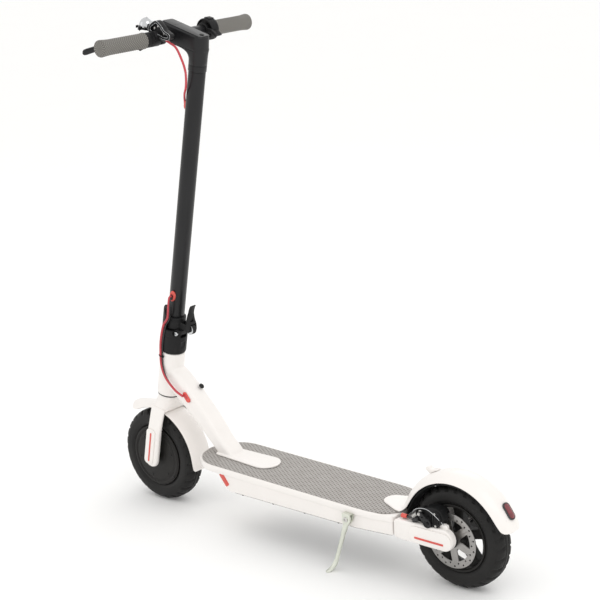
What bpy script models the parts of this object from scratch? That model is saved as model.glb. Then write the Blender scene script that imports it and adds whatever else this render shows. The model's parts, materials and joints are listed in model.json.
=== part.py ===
"""Electric kick scooter standing on its kickstand, one object for each sub-part.

Metres, +Z up. The scooter rides towards -X and the rider's left is -Y. The fork, stem and
handlebar are modelled in the steering frame: x is "a" (rearward of the steering axis),
y is world y and z is "s" (up along the steering axis), from the front axle.
"""

from math import cos, pi, radians, sin

import bmesh
import bpy
from mathutils import Matrix, Vector

# Driving dimensions
GAP = 0.0003  # between pieces that touch
WHEEL_R = 0.108  # 8.5 inch tyre
TYRE_HALF = 0.025
RIM_R = 0.0712
FRONT_AXLE = Vector((-0.432, 0, WHEEL_R))
REAR_AXLE = Vector((0.408, 0, WHEEL_R))
RAKE = radians(12.9)
AXLE_R = 0.006
HEAD_TUBE = (0.158, 0.264)  # s of its ends
STEM_TOP = 0.9127
TOP_SLOPE = 0.064  # of the headstock, down towards the rider
STEM_R = 0.0184
BAR_A, BAR_S, BAR_R, BAR_HALF = -0.0683, 0.9715, 0.011, 0.2135
HINGE_A, HINGE_S = 0.021, 0.3165  # folding pin
LATCH_A, LATCH_S = 0.0485, 0.334
LEVER_A, LEVER_Y, LEVER_S = -0.100, -0.065, 0.965
DECK_HALF, MAT_HALF = 0.0775, 0.073
DECK_LEVEL, DECK_SLOPE = 0.1455, 0.018  # top of the mat is level - slope * x
TRAY_BOTTOM = 0.0985
STAND_X, STAND_Y, STAND_Z = 0.183, -0.083, 0.119

X, Y, Z = Vector((1, 0, 0)), Vector((0, 1, 0)), Vector((0, 0, 1))

for old in list(bpy.data.objects):
    bpy.data.objects.remove(old, do_unlink=True)
parts = bpy.data.collections.new("electric_kick_scooter")
cutters = bpy.data.collections.new("cutters")
cutters.hide_render = True
for collection in (parts, cutters):
    bpy.context.scene.collection.children.link(collection)

COLOURS = {  # base colour, roughness, metallic
    "white_paint": ((0.90, 0.87, 0.84), 0.35, 0.0),
    "mat_rubber": ((0.34, 0.33, 0.32), 0.85, 0.0),
    "tyre_rubber": ((0.025, 0.025, 0.026), 0.8, 0.0),
    "grip_rubber": ((0.20, 0.19, 0.18), 0.75, 0.0),
    "black_satin": ((0.03, 0.03, 0.032), 0.4, 0.0),
    "black_gloss": ((0.01, 0.01, 0.012), 0.08, 0.0),
    "red_plastic": ((0.62, 0.06, 0.05), 0.35, 0.0),
    "cable_red": ((0.50, 0.06, 0.08), 0.4, 0.0),
    "steel": ((0.62, 0.62, 0.60), 0.3, 1.0),
    "alloy": ((0.72, 0.74, 0.70), 0.4, 1.0),
    "lamp_lens": ((0.85, 0.85, 0.85), 0.05, 0.0),
    "cell_wrap": ((0.10, 0.18, 0.42), 0.5, 0.0),
}


def material_for(name, kind):
    colour, roughness, metallic = COLOURS[kind]
    material = bpy.data.materials.new(name + "_" + kind)
    material.use_nodes = True
    shader = material.node_tree.nodes["Principled BSDF"]
    shader.inputs["Base Color"].default_value = (*colour, 1)
    shader.inputs["Roughness"].default_value = roughness
    shader.inputs["Metallic"].default_value = metallic
    material.diffuse_color = (*colour, 1)
    return material


def empty(name, location, rotation=(0, 0, 0), parent=None):
    obj = bpy.data.objects.new(name, None)
    obj.location, obj.rotation_euler, obj.parent = location, rotation, parent
    obj.empty_display_size = 0.03
    parts.objects.link(obj)
    return obj


steer = empty("steering_axis", FRONT_AXLE, (0, RAKE, 0))


def part(name, kind, mesh, frame=None, pivot=(0, 0, 0), smooth=35):
    """A sub-part from a mesh in its frame's coordinates, with its origin at the pivot."""
    bmesh.ops.recalc_face_normals(mesh, faces=mesh.faces)
    bmesh.ops.translate(mesh, vec=-Vector(pivot), verts=mesh.verts)
    data = bpy.data.meshes.new(name)
    mesh.to_mesh(data)
    mesh.free()
    data.shade_smooth()
    data.set_sharp_from_angle(angle=radians(smooth))
    obj = bpy.data.objects.new(name, data)
    obj.parent, obj.location = frame, pivot
    parts.objects.link(obj)
    data.materials.append(material_for(name, kind))
    return obj


def combine(obj, mesh, operation="UNION", pivot=None):
    """Adds a mesh to an object, or cuts it away, with an exact Boolean."""
    name = "%s_%s_%d" % (obj.name, operation.lower(), len(obj.modifiers))
    bmesh.ops.recalc_face_normals(mesh, faces=mesh.faces)
    data = bpy.data.meshes.new(name)
    mesh.to_mesh(data)
    mesh.free()
    other = bpy.data.objects.new(name, data)
    other.parent = obj.parent
    other.hide_render, other.display_type = True, "WIRE"
    cutters.objects.link(other)
    modifier = obj.modifiers.new(operation.lower(), "BOOLEAN")
    modifier.operation, modifier.solver, modifier.object = operation, "EXACT", other
    return obj


def cut(obj, *meshes):
    for mesh in meshes:
        combine(obj, mesh, "DIFFERENCE")
    return obj


def add(obj, *meshes):
    for mesh in meshes:
        combine(obj, mesh)
    return obj


def soften(mesh, width, segments=2, angle=30):
    """Rounds every edge that is sharper than the angle."""
    sharp = [e for e in mesh.edges if e.is_manifold and e.calc_face_angle(0) > radians(angle)]
    bmesh.ops.bevel(mesh, geom=sharp, offset=width, segments=segments, affect="EDGES",
                    profile=0.5, clamp_overlap=True)
    return mesh


def box(low, high, width=0.0, segments=1):
    mesh = bmesh.new()
    bmesh.ops.create_cube(mesh, size=1)
    low, high = Vector(low), Vector(high)
    for vert in mesh.verts:
        vert.co = Vector(low[i] + (vert.co[i] + 0.5) * (high[i] - low[i]) for i in range(3))
    return soften(mesh, width, segments) if width else mesh


def turned(profile, centre=(0, 0, 0), axis=Z, steps=32, ring=False):
    """A profile of (radius, height) points turned about an axis; a ring's profile is a loop."""
    mesh = bmesh.new()
    verts = [mesh.verts.new((r, 0, h)) for r, h in profile]
    edges = [mesh.edges.new(pair) for pair in zip(verts, verts[1:])]
    if ring:
        edges.append(mesh.edges.new((verts[-1], verts[0])))
    bmesh.ops.spin(mesh, geom=verts + edges, cent=(0, 0, 0), axis=(0, 0, 1), angle=2 * pi,
                   steps=steps, use_merge=True)
    bmesh.ops.remove_doubles(mesh, verts=mesh.verts, dist=1e-6)
    turn = Z.rotation_difference(Vector(axis)).to_matrix().to_4x4()
    mesh.transform(Matrix.Translation(Vector(centre)) @ turn)
    return mesh


def rod(radius, low, high, centre=(0, 0, 0), axis=Z, steps=24, chamfer=0.0):
    c = chamfer
    if c:
        line = [(0, high), (radius - c, high), (radius, high - c), (radius, low + c),
                (radius - c, low), (0, low)]
    else:
        line = [(0, high), (radius, high), (radius, low), (0, low)]
    return turned(line, centre, axis, steps)


def tube(inner, outer, low, high, centre=(0, 0, 0), axis=Z, steps=32, chamfer=0.0):
    c = chamfer
    if c:
        line = [(inner, high), (outer - c, high), (outer, high - c), (outer, low + c),
                (outer - c, low), (inner, low)]
    else:
        line = [(inner, high), (outer, high), (outer, low), (inner, low)]
    return turned(line, centre, axis, steps, ring=True)


def prism(outline, low, high, axis="Y", width=0.0, segments=1):
    """An outline extruded from low to high; its points are the other two coordinates in order."""
    place = {"X": lambda u, v, w: (w, u, v), "Y": lambda u, v, w: (u, w, v),
             "Z": lambda u, v, w: (u, v, w)}[axis]
    mesh = bmesh.new()
    face = mesh.faces.new([mesh.verts.new(place(u, v, low)) for u, v in outline])
    grown = bmesh.ops.extrude_face_region(mesh, geom=[face])["geom"]
    shift = Vector(place(0, 0, high - low))
    bmesh.ops.translate(mesh, vec=shift, verts=[g for g in grown if isinstance(g, bmesh.types.BMVert)])
    bmesh.ops.recalc_face_normals(mesh, faces=mesh.faces)
    return soften(mesh, width, segments) if width else mesh


def round_rect(u0, u1, v0, v1, r, n=3):
    """Points round a rectangle with rounded corners, anticlockwise."""
    points = []
    for k, (cu, cv) in enumerate([(u1 - r, v1 - r), (u0 + r, v1 - r), (u0 + r, v0 + r), (u1 - r, v0 + r)]):
        for i in range(n + 1):
            t = (k + i / n) * pi / 2
            points.append((cu + r * cos(t), cv + r * sin(t)))
    return points


def arc(cu, cv, r, t0, t1, n=8):
    """Points on an arc, angles in degrees."""
    return [(cu + r * cos(radians(t0 + (t1 - t0) * i / n)), cv + r * sin(radians(t0 + (t1 - t0) * i / n)))
            for i in range(n + 1)]


def loft(sections):
    """A closed skin over rings of the same number of points."""
    mesh = bmesh.new()
    rings = [[mesh.verts.new(p) for p in section] for section in sections]
    count = len(rings[0])
    for one, two in zip(rings, rings[1:]):
        for i in range(count):
            j = (i + 1) % count
            mesh.faces.new((one[i], one[j], two[j], two[i]))
    mesh.faces.new(rings[0])
    mesh.faces.new(rings[-1])
    bmesh.ops.recalc_face_normals(mesh, faces=mesh.faces)
    return mesh


def mirrored(mesh):
    copy = mesh.copy()
    copy.transform(Matrix.Diagonal((1, -1, 1, 1)))
    bmesh.ops.reverse_faces(copy, faces=copy.faces)
    return copy


def smooth_path(points, step):
    """Points on a smooth curve through the route, about one step apart."""
    route = [Vector(p) for p in points]
    route = [2 * route[0] - route[1]] + route + [2 * route[-1] - route[-2]]
    path = []
    for p0, p1, p2, p3 in zip(route, route[1:], route[2:], route[3:]):
        count = max(1, round((p2 - p1).length / step))
        for i in range(count):
            t = i / count
            path.append(0.5 * (2 * p1 + (p2 - p0) * t + (2 * p0 - 5 * p1 + 4 * p2 - p3) * t ** 2
                               + (3 * p1 - p0 - 3 * p2 + p3) * t ** 3))
    return path + [route[-2]]


def wire(name, kind, points, radius, frame=None, step=0.013, resolution=2):
    path = smooth_path(points, step)
    curve = bpy.data.curves.new(name, "CURVE")
    curve.dimensions = "3D"
    spline = curve.splines.new("POLY")
    spline.points.add(len(path) - 1)
    for point, co in zip(spline.points, path):
        point.co = (*co, 1)
    curve.bevel_depth, curve.bevel_resolution, curve.use_fill_caps = radius, resolution, True
    obj = bpy.data.objects.new(name, curve)
    obj.parent = frame
    parts.objects.link(obj)
    curve.materials.append(material_for(name, kind))
    return obj


def deck_top(x):
    return DECK_LEVEL - DECK_SLOPE * x


def sloped(mesh):
    """Shears a mesh that was built level so that it follows the deck's slope."""
    for vert in mesh.verts:
        vert.co.z -= DECK_SLOPE * vert.co.x
    return mesh


# Frame: head tube, down tube and foot plate as one welded neck
def tube_section(x, z, half_depth, half_width, normal, corner):
    """A rounded rectangle across the down tube; normal is its depth direction in x and z."""
    n = Vector((normal[0], 0, normal[1])).normalized()
    return [Vector((x, v, z)) + n * u
            for u, v in round_rect(-half_depth, half_depth, -half_width, half_width, corner)]


head_axis = Vector((sin(RAKE), 0, cos(RAKE)))
head_mid = FRONT_AXLE + head_axis * HEAD_TUBE[0]
neck = part("neck", "white_paint", turned(
    [(0, HEAD_TUBE[1] - HEAD_TUBE[0]), (0.0264, HEAD_TUBE[1] - HEAD_TUBE[0]), (0.0277, 0.1045),
     (0.0278, 0.06), (0.0280, 0.0015), (0.0268, 0), (0, 0)], head_mid, head_axis, 40))
DOWN_TUBE = [  # x, z, half depth, half width, depth direction
    (-0.383, 0.308, 0.022, 0.0175, (0.72, 0.70)), (-0.366, 0.300, 0.0262, 0.0225, (0.72, 0.70)),
    (-0.345, 0.284, 0.0250, 0.0240, (0.74, 0.67)), (-0.320, 0.262, 0.0225, 0.0245, (0.76, 0.65)),
    (-0.2725, 0.216, 0.0195, 0.0245, (0.75, 0.66)), (-0.235, 0.1755, 0.0172, 0.0245, (0.80, 0.60)),
    (-0.2165, 0.158, 0.0205, 0.0250, (0.97, 0.24)), (-0.2125, 0.1515, 0.0225, 0.0255, (1, -0.018))]
add(neck, loft([tube_section(*s, 0.009) for s in DOWN_TUBE]))
island = [(x, y) for x, y in arc(-0.112, 0, 0.033, -90, 90, 12)]
island = [(-0.243, -0.020), (-0.238, -0.0265), (-0.190, -0.0285)] + island \
    + [(-0.190, 0.0285), (-0.238, 0.0265), (-0.243, 0.020)]
add(neck, sloped(prism(island, DECK_LEVEL + GAP, DECK_LEVEL + 0.0050, "Z")))
cut(neck, rod(0.0203, -0.01, 0.14, head_mid, head_axis, 32))

# Deck
outline = []
for k in range(17):
    t = pi / 2 + pi * k / 16
    outline.append((-0.205 + 0.077 * cos(t), DECK_HALF * sin(t)))
outline += [(0.205, -DECK_HALF), (0.245, -0.0735), (0.285, -0.0660),
            (0.285, 0.0660), (0.245, 0.0735), (0.205, DECK_HALF)]
deck = part("deck_shell", "white_paint",
            sloped(prism(outline, DECK_LEVEL - 0.0150, DECK_LEVEL - 0.0020 - GAP, "Z", 0.0015, 2)))
tray = prism([(-0.190, 0.1400), (-0.187, 0.1330), (-0.173, 0.1090), (-0.166, 0.1015),
              (-0.155, TRAY_BOTTOM), (0.284, TRAY_BOTTOM), (0.284, 0.1330)], -0.0762, 0.0762, "Y", 0.002)
for vert in tray.verts:
    if vert.co.x > 0.2:
        vert.co.y *= 0.855
add(deck, tray)
cut(deck, box((-0.152, -0.060, 0.08), (0.205, 0.060, 0.1295)),
    box((0.2, -0.058, 0.08), (0.274, 0.058, 0.1275)))
part("bottom_cover", "black_satin",
     prism([(-0.146, -0.0700), (0.190, -0.0700), (0.278, -0.0595), (0.278, 0.0595), (0.190, 0.0700),
            (-0.146, 0.0700)], TRAY_BOTTOM - GAP - 0.003, TRAY_BOTTOM - GAP, "Z", 0.0015))
part("battery_pack", "cell_wrap", box((-0.130, -0.056, 0.0988), (0.175, 0.056, 0.1280), 0.003))
part("motor_controller", "alloy", box((0.182, -0.040, 0.0988), (0.262, 0.040, 0.1240), 0.003))

mat = []
for k in range(17):
    t = pi / 2 + pi * k / 16
    mat.append((-0.204 + 0.072 * cos(t), MAT_HALF * sin(t)))
mat += [(0.205, -MAT_HALF), (0.240, -0.0675), (0.262, -0.0580), (0.276, -0.0440), (0.282, -0.0300),
        (0.282, 0.0300), (0.276, 0.0440), (0.262, 0.0580), (0.240, 0.0675), (0.205, MAT_HALF)]
part("deck_mat", "mat_rubber", sloped(prism(mat, DECK_LEVEL - 0.002, DECK_LEVEL, "Z")))

# Rear fork: two arms on a cross plate
arm_side = [(0.2853, 0.0985), (0.300, 0.0955), (0.390, 0.0945)] \
    + arc(0.4060, 0.1175, 0.0232, -100, 80, 10) + [(0.395, 0.1383), (0.300, 0.1378), (0.2853, 0.1310)]
rear_fork = part("rear_fork", "white_paint", prism(arm_side, -0.064, -0.046, "Y", 0.003))
add(rear_fork, prism(arm_side, 0.046, 0.064, "Y", 0.003),
    box((0.2856, -0.050, 0.1005), (0.2935, 0.050, 0.1290)))
cut(rear_fork, rod(AXLE_R + GAP, -0.08, 0.08, REAR_AXLE, Y))
part("rear_axle", "steel", rod(AXLE_R, -0.0636, 0.0636, REAR_AXLE, Y, 24, 0.001))
cap_side = round_rect(0.326, 0.4285, 0.0985, 0.1335, 0.016, 4)
for side, name in ((-1, "left"), (1, "right")):
    low, high = sorted((side * 0.0643, side * 0.0670))
    part("arm_cap_" + name, "white_paint", prism(cap_side, low, high, "Y", 0.001))
    low, high = sorted((side * 0.0673, side * 0.0682))
    part("rear_strip_" + name, "red_plastic", prism(round_rect(0.340, 0.411, 0.1082, 0.1122, 0.0019, 2), low, high))

# Rear fender: an arched band round the wheel with a foot plate on the deck
def fender_section(angle, half, crest, edge, thick):
    outer, inner = [], []
    for i in range(9):
        t = -1 + 2 * i / 8
        r = edge + (crest - edge) * (1 - abs(t) ** 2.6)
        outer.append((t * half, r))
        inner.append((t * (half - thick), r - thick * (1 - 0.6 * abs(t) ** 4)))
    direction = Vector((cos(radians(angle)), 0, sin(radians(angle))))
    return [REAR_AXLE + direction * r + Y * y for y, r in outer + inner[::-1]]


FENDER = [(164.4, 0.031, 0.1352, 0.1250), (158, 0.0345, 0.1350, 0.1195), (150, 0.035, 0.135, 0.1180)]
FENDER += [(150 - 11.2 * k, 0.035, 0.135, 0.1180) for k in range(1, 11)]
FENDER += [(28, 0.0345, 0.135, 0.1190), (20.5, 0.031, 0.1352, 0.1210), (17, 0.024, 0.1353, 0.1250)]
rear_fender = part("rear_fender", "white_paint", loft([fender_section(*s, 0.0025) for s in FENDER]), smooth=50)
foot = arc(0.243, 0, 0.0245, 105, 255, 8) + [(0.262, -0.036), (0.2825, -0.031), (0.2825, 0.031), (0.262, 0.036)]
add(rear_fender, sloped(prism(foot, DECK_LEVEL + GAP, DECK_LEVEL + 0.0042, "Z")))


def about_rear(angle, r, along, up, y=0.0):
    """A point over the rear wheel: along the tangent (forward) and up the radius."""
    t = radians(angle)
    return REAR_AXLE + Vector((cos(t), 0, sin(t))) * (r + up) + Vector((-sin(t), 0, cos(t))) * along + Y * y


lamp = [about_rear(34, 0.1353, u, 0, v) for u, v in
        round_rect(-0.018, 0.018, -0.0085, 0.0085, 0.0083, 4)]
lamp_up = [p + Vector((cos(radians(34)), 0, sin(radians(34)))) * 0.0042 for p in lamp]
part("tail_light", "red_plastic", loft([lamp, lamp_up]))
hook = [about_rear(a, 0.1354, u, v) for a, u, v in
        [(112, 0, 0), (116, 0, 0.0007), (121, 0, 0), (121, 0.001, 0.006), (121, 0.0025, 0.0125),
         (121, 0.0005, 0.0150), (119.5, 0, 0.0150), (118.5, 0, 0.0095), (116, 0, 0.0060), (112, 0, 0.0040)]]
part("fender_hook", "alloy", prism([(p.x, p.z) for p in hook], -0.006, 0.006, "Y", 0.0006))

# Rear brake
caliper = part("caliper_body", "black_satin", prism(
    [(0.3500, 0.1389), (0.3950, 0.1389), (0.4050, 0.1500), (0.4010, 0.1720), (0.3850, 0.1785),
     (0.3600, 0.1740), (0.3455, 0.1600)], -0.0605, -0.0285, "Y", 0.0015))
cut(caliper, rod(0.0605, -0.0369, -0.0323, REAR_AXLE, Y, 48))
part("caliper_arm", "steel", prism(
    arc(0.3707, 0.1460, 0.0070, -60, 120, 6) + [(0.3540, 0.1660), (0.3490, 0.1640), (0.3485, 0.1580)],
    -0.0650, -0.0609, "Y", 0.0006), pivot=(0.3707, -0.063, 0.1460))
part("rear_cable_grommet", "red_plastic",
     tube(0.0029, 0.0052, -0.006, 0.006, (0.305, -0.0535, 0.1440), X, 20, 0.001))
wire("rear_brake_cable", "black_satin",
     [(0.3060, -0.0535, 0.1440), (0.3180, -0.0550, 0.1445), (0.3300, -0.0600, 0.1490), (0.3400, -0.0632, 0.1560),
      (0.3450, -0.0632, 0.1605)], 0.0024, step=0.008)

# Kickstand bracket outside the tray, with its bolt
bracket = part("kickstand_bracket", "alloy", prism(
    [(0.1745, 0.1180)] + arc(STAND_X, STAND_Z, 0.0108, 190, 350, 10) + [(0.1965, 0.1290), (0.1700, 0.1290)],
    -0.0790, -0.0780, "Y"))
add(bracket, prism([(0.1745, 0.1180)] + arc(STAND_X, STAND_Z, 0.0108, 190, 350, 10)
                   + [(0.1930, 0.1310), (0.1730, 0.1310)], -0.0890, -0.0866, "Y", 0.0004),
    box((0.1735, -0.0885, 0.1282), (0.1925, -0.0782, 0.1308)),
    rod(0.0030, -0.0888, -0.0785, (STAND_X, 0, STAND_Z), Y, 16),
    rod(0.0055, -0.0915, -0.0885, (STAND_X, 0, STAND_Z), Y, 20, 0.0006))
towards = Vector((0.150 - STAND_X, -0.007, 0.012 - STAND_Z)).normalized()
head = Vector((STAND_X, STAND_Y, STAND_Z))
side_step = Vector((towards.z, 0, -towards.x)).normalized() * 0.0052
shank = head + towards * 0.0150
stand = part("kickstand_leg", "alloy", rod(0.0085, -0.0032, 0.0032, head, Y, 24),
             pivot=(STAND_X, STAND_Y, STAND_Z))
link_plate = prism([(p.x, p.z) for p in (head + side_step, head - side_step, shank - side_step,
                                         shank + side_step)], STAND_Y - 0.0030, STAND_Y + 0.0030, "Y")
socket = turned([(0, 0.040), (0.0046, 0.040), (0.0058, 0.036), (0.0058, 0.0005), (0.0052, 0), (0, 0)],
                head + towards * 0.0124, towards, 20)
ankle = Vector((0.1515, -0.0898, 0.0170))
shaft = turned([(0, (ankle - head).length + 0.003), (0.0042, (ankle - head).length + 0.001), (0.0045, 0.02),
                (0, 0.02)], head, (ankle - head).normalized(), 16)
TOE = [[(0.1560, -0.0860, 0.0215), (0.1560, -0.0935, 0.0215), (0.1465, -0.0945, 0.0215), (0.1465, -0.0870, 0.0215)],
       [(0.1540, -0.0870, 0.0085), (0.1540, -0.0990, 0.0085), (0.1430, -0.1010, 0.0085), (0.1430, -0.0890, 0.0085)],
       [(0.1510, -0.0950, 0), (0.1490, -0.1110, 0), (0.1370, -0.1120, 0), (0.1390, -0.0960, 0)]]
add(stand, link_plate, socket, shaft, soften(loft([[Vector(p) for p in ring] for ring in TOE]), 0.001))
cut(stand, rod(0.0033, -0.01, 0.01, head, Y, 16))

# Wheels
tread = TYRE_HALF
tyre = [(RIM_R, 0.0210), (0.0780, tread), (0.0920, tread), (0.1030, 0.0190), (WHEEL_R, 0.0095),
        (WHEEL_R, -0.0095), (0.1030, -0.0190), (0.0920, -tread), (0.0780, -tread), (RIM_R, -0.0210)]
for name, axle in (("front_tyre", FRONT_AXLE), ("rear_tyre", REAR_AXLE)):
    part(name, "tyre_rubber", turned(tyre, (0, 0, 0), Y, 48, ring=True),
         smooth=40).location = axle
rim_edge = RIM_R - GAP
bore = AXLE_R + 0.0003
hub = [(bore, 0.0352), (0.0120, 0.0352), (0.0125, 0.0285), (0.0620, 0.0262), (rim_edge, 0.0250),
       (rim_edge, -0.0250), (0.0620, -0.0262), (0.0125, -0.0285), (0.0120, -0.0352), (bore, -0.0352)]
part("front_hub_motor", "black_satin", turned(hub, (0, 0, 0), Y, 40, ring=True)).location = FRONT_AXLE
rim = part("rear_rim", "black_satin", turned(
    [(bore, 0.0330), (0.0135, 0.0330), (0.0200, 0.0130), (0.0630, 0.0110), (0.0665, 0.0225), (rim_edge, 0.0240),
     (rim_edge, -0.0240), (0.0665, -0.0225), (0.0630, -0.0110), (0.0200, -0.0130), (0.0200, -0.0330),
     (bore, -0.0330)], (0, 0, 0), Y, 40, ring=True))
rim.location = REAR_AXLE
window = arc(0.0550, 0, 0.0074, -80, 80, 4) + arc(0.0300, 0, 0.0040, 110, 250, 3)
for k in range(5):
    t = radians(54 + 72 * k)
    cut(rim, prism([(REAR_AXLE.x + u * cos(t) - v * sin(t), REAR_AXLE.z + u * sin(t) + v * cos(t))
                    for u, v in window], -0.05, 0.05))
disc = part("brake_disc", "steel", turned(
    [(0.0100, 0.0010), (0.0578, 0.0010), (0.0578, -0.0010), (0.0100, -0.0010)], (0, -0.0346, 0), Y, 48, ring=True))
disc.location = REAR_AXLE
petal = arc(0.0360, 0, 0.0050, -90, 90, 3) + arc(0.0235, 0, 0.0028, 90, 270, 3)
for k in range(5):
    t = radians(18 + 72 * k)
    cut(disc, prism([(REAR_AXLE.x + u * cos(t) - v * sin(t), REAR_AXLE.z + u * sin(t) + v * cos(t))
                     for u, v in petal], -0.04, -0.03))

# Fork, in the steering frame
def slab(s, a0, a1, y0, y1, r):
    return [Vector((u, v, s)) for u, v in round_rect(a0, a1, y0, y1, r, 4)]


fork = part("fork", "white_paint", loft([
    slab(0.1215, -0.0175, 0.0220, -0.0395, 0.0395, 0.008), slab(0.1260, -0.0190, 0.0225, -0.0370, 0.0370, 0.011),
    slab(0.1320, -0.0215, 0.0235, -0.0325, 0.0325, 0.015), slab(0.1400, -0.0240, 0.0248, -0.0275, 0.0275, 0.021),
    slab(0.1460, -0.0255, 0.0255, -0.0255, 0.0255, 0.0254), slab(0.1545, -0.0255, 0.0255, -0.0255, 0.0255, 0.0254),
    slab(0.1560, -0.0240, 0.0240, -0.0240, 0.0240, 0.0239)]), steer, smooth=40)
BLADE = [(0.1290, -0.0165, 0.0225, 0.0325, 0.0385, 0.0029), (0.1215, -0.0165, 0.0225, 0.0328, 0.0400, 0.003),
         (0.1120, -0.0155, 0.0228, 0.0340, 0.0425, 0.004), (0.1000, -0.0145, 0.0231, 0.0355, 0.0450, 0.0045),
         (0.0860, -0.0136, 0.0233, 0.0362, 0.0480, 0.005), (0.0760, -0.0130, 0.0233, 0.0362, 0.0500, 0.005),
         (-0.0040, -0.0130, 0.0233, 0.0362, 0.0500, 0.005), (-0.0120, -0.0100, 0.0203, 0.0365, 0.0498, 0.005),
         (-0.0170, -0.0030, 0.0130, 0.0375, 0.0490, 0.004)]
blade = loft([slab(*s) for s in BLADE])
add(fork, mirrored(blade), blade, rod(0.0165, 0.150, 0.284, steps=24))
cut(fork, rod(AXLE_R + GAP, -0.06, 0.06, (0, 0, 0), Y))
part("front_axle", "steel", rod(AXLE_R, -0.0498, 0.0498, (0, 0, 0), Y, 24, 0.001), steer)
for side, name in ((-1, "left"), (1, "right")):
    low, high = sorted((side * 0.0503, side * 0.0530))
    part("fork_cap_" + name, "white_paint",
         prism(round_rect(-0.0120, 0.0135, -0.0115, 0.0745, 0.0100, 4), low, high, "Y", 0.001), steer)
    low, high = sorted((side * 0.0533, side * 0.0541))
    part("fork_strip_" + name, "red_plastic", prism(round_rect(0.0008, 0.0046, -0.0040, 0.0680, 0.0018, 2), low, high),
         steer)
band = []
for angle in [4.4 + 6.8 * k for k in range(21)]:
    direction = Vector((cos(radians(angle)), 0, sin(radians(angle))))
    half = 0.0322 if 12 < angle < 132 else 0.0300
    band.append([direction * r + Y * y for r, y in
                 ((0.1188, -half), (0.1212, -half), (0.1212, half), (0.1188, half))])
part("front_fender", "white_paint", loft(band), steer, smooth=50)

# Folding joint on the fork's steerer, and the latch on the stem
base = part("fold_base", "black_satin", turned(
    [(0, 0.3220), (0.0275, 0.3220), (0.0290, 0.3200), (0.0290, 0.2665), (0.0280, 0.2646), (0.0170, 0.2646),
     (0.0170, 0.2858), (0, 0.2858)], steps=32), steer)
lip = [Vector((0.0258 * cos(radians(t)), 0.0258 * sin(radians(t)), 0)) for t in range(255, 174, -10)] \
    + [Vector((0.0288 * cos(radians(t)), 0.0288 * sin(radians(t)), 0)) for t in range(175, 256, 10)]
add(base, loft([[p + Z * s for p in lip] for s in (0.3150, 0.3580, 0.3670)]))
cut(base, box((0.0090, -0.0094, 0.3050), (0.0400, 0.0094, 0.3300)),
    rod(0.0033, -0.03, 0.03, (HINGE_A, 0, HINGE_S), Y, 20),
    rod(0.0058, -0.04, -0.0150, (HINGE_A, 0, HINGE_S), Y, 24), rod(0.0058, 0.0150, 0.04, (HINGE_A, 0, HINGE_S), Y, 24),
    # room for the safety knob once the stem lies flat
    rod(0.0122, -0.0062, 0.0062, (HINGE_A + LATCH_S - HINGE_S, 0, HINGE_S - LATCH_A + HINGE_A), Y, 32))
bolt = part("hinge_bolt", "steel", turned(
    [(0, 0.0175), (0.0030, 0.0175), (0.0030, -0.0153), (0.0052, -0.0153), (0.0052, -0.0185), (0.0040, -0.0195),
     (0, -0.0195)], (HINGE_A, 0, HINGE_S), Y, 20), steer)

pin = (HINGE_A, 0, HINGE_S)
joint = part("stem_joint", "black_satin", turned(
    [(0, 0.3508), (0.0210, 0.3508), (0.0225, 0.3490), (0.0225, 0.3250), (0.0215, 0.3235), (0, 0.3235)], steps=40),
    steer, pin)
add(joint, prism([(0.0140, 0.3300)] + arc(HINGE_A, HINGE_S, 0.0072, 200, 355, 8) + [(0.0280, 0.3215), (0.0215, 0.3300)],
                 -0.0090, 0.0090))
ear = [(0.0150, 0.3270), (LATCH_A, 0.3280)] + arc(LATCH_A, LATCH_S, 0.0060, -85, 85, 6) + [(0.0150, 0.3410)]
add(joint, prism(ear, 0.0058, 0.0086), prism(ear, -0.0086, -0.0058))
cut(joint, rod(0.0033, -0.02, 0.02, pin, Y, 20), rod(0.0028, -0.02, 0.02, (LATCH_A, 0, LATCH_S), Y, 16))
blade = prism(arc(LATCH_A, LATCH_S, 0.0062, 180, 360, 8) + [(0.0530, 0.3440), (0.0475, 0.3560), (0.0455, 0.3720),
                                                            (0.0490, 0.3895), (0.0470, 0.3915), (0.0425, 0.3800),
                                                            (0.0410, 0.3600), (0.0412, 0.3450)],
              -0.0120, 0.0120, "Y", 0.0004)
for vert in blade.verts:
    if vert.co.z > 0.352:
        vert.co.y *= 0.68
latch = part("latch_lever", "black_satin", blade, steer, (LATCH_A, 0, LATCH_S))
cut(latch, box((0.03, -0.0089, 0.32), (0.07, 0.0089, 0.3465)))
add(latch, rod(0.0025, -0.0105, 0.0105, (LATCH_A, 0, LATCH_S), Y, 16))
part("latch_knob", "black_satin", tube(0.0028, 0.0115, -0.0055, 0.0055, (LATCH_A, 0, LATCH_S), Y, 24, 0.0012),
     steer, (LATCH_A, 0, LATCH_S))

# Stem and headstock
part("stem_tube", "black_satin", tube(0.0155, STEM_R, 0.3511, STEM_TOP, steps=40), steer)
for name, centre, way, half in (("stem_grommet_lower", (0.0015, 0, 0.402), -Y, 0.0125),
                                ("stem_grommet_upper", (0, -0.003, 0.833), -X, 0.0110)):
    seat = Vector(centre)
    grommet = part(name, "red_plastic", turned(
        [(0, 0.0240), (0.0050, 0.0240), (0.0066, 0.0205), (0.0070, 0.0120), (0, 0.0120)], seat, way, 24), steer)
    for vert in grommet.data.vertices:
        vert.co.z = seat.z + (vert.co.z - seat.z) * half / 0.0070
    cut(grommet, rod(STEM_R + GAP, 0.3, 1.0, steps=40))

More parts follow.
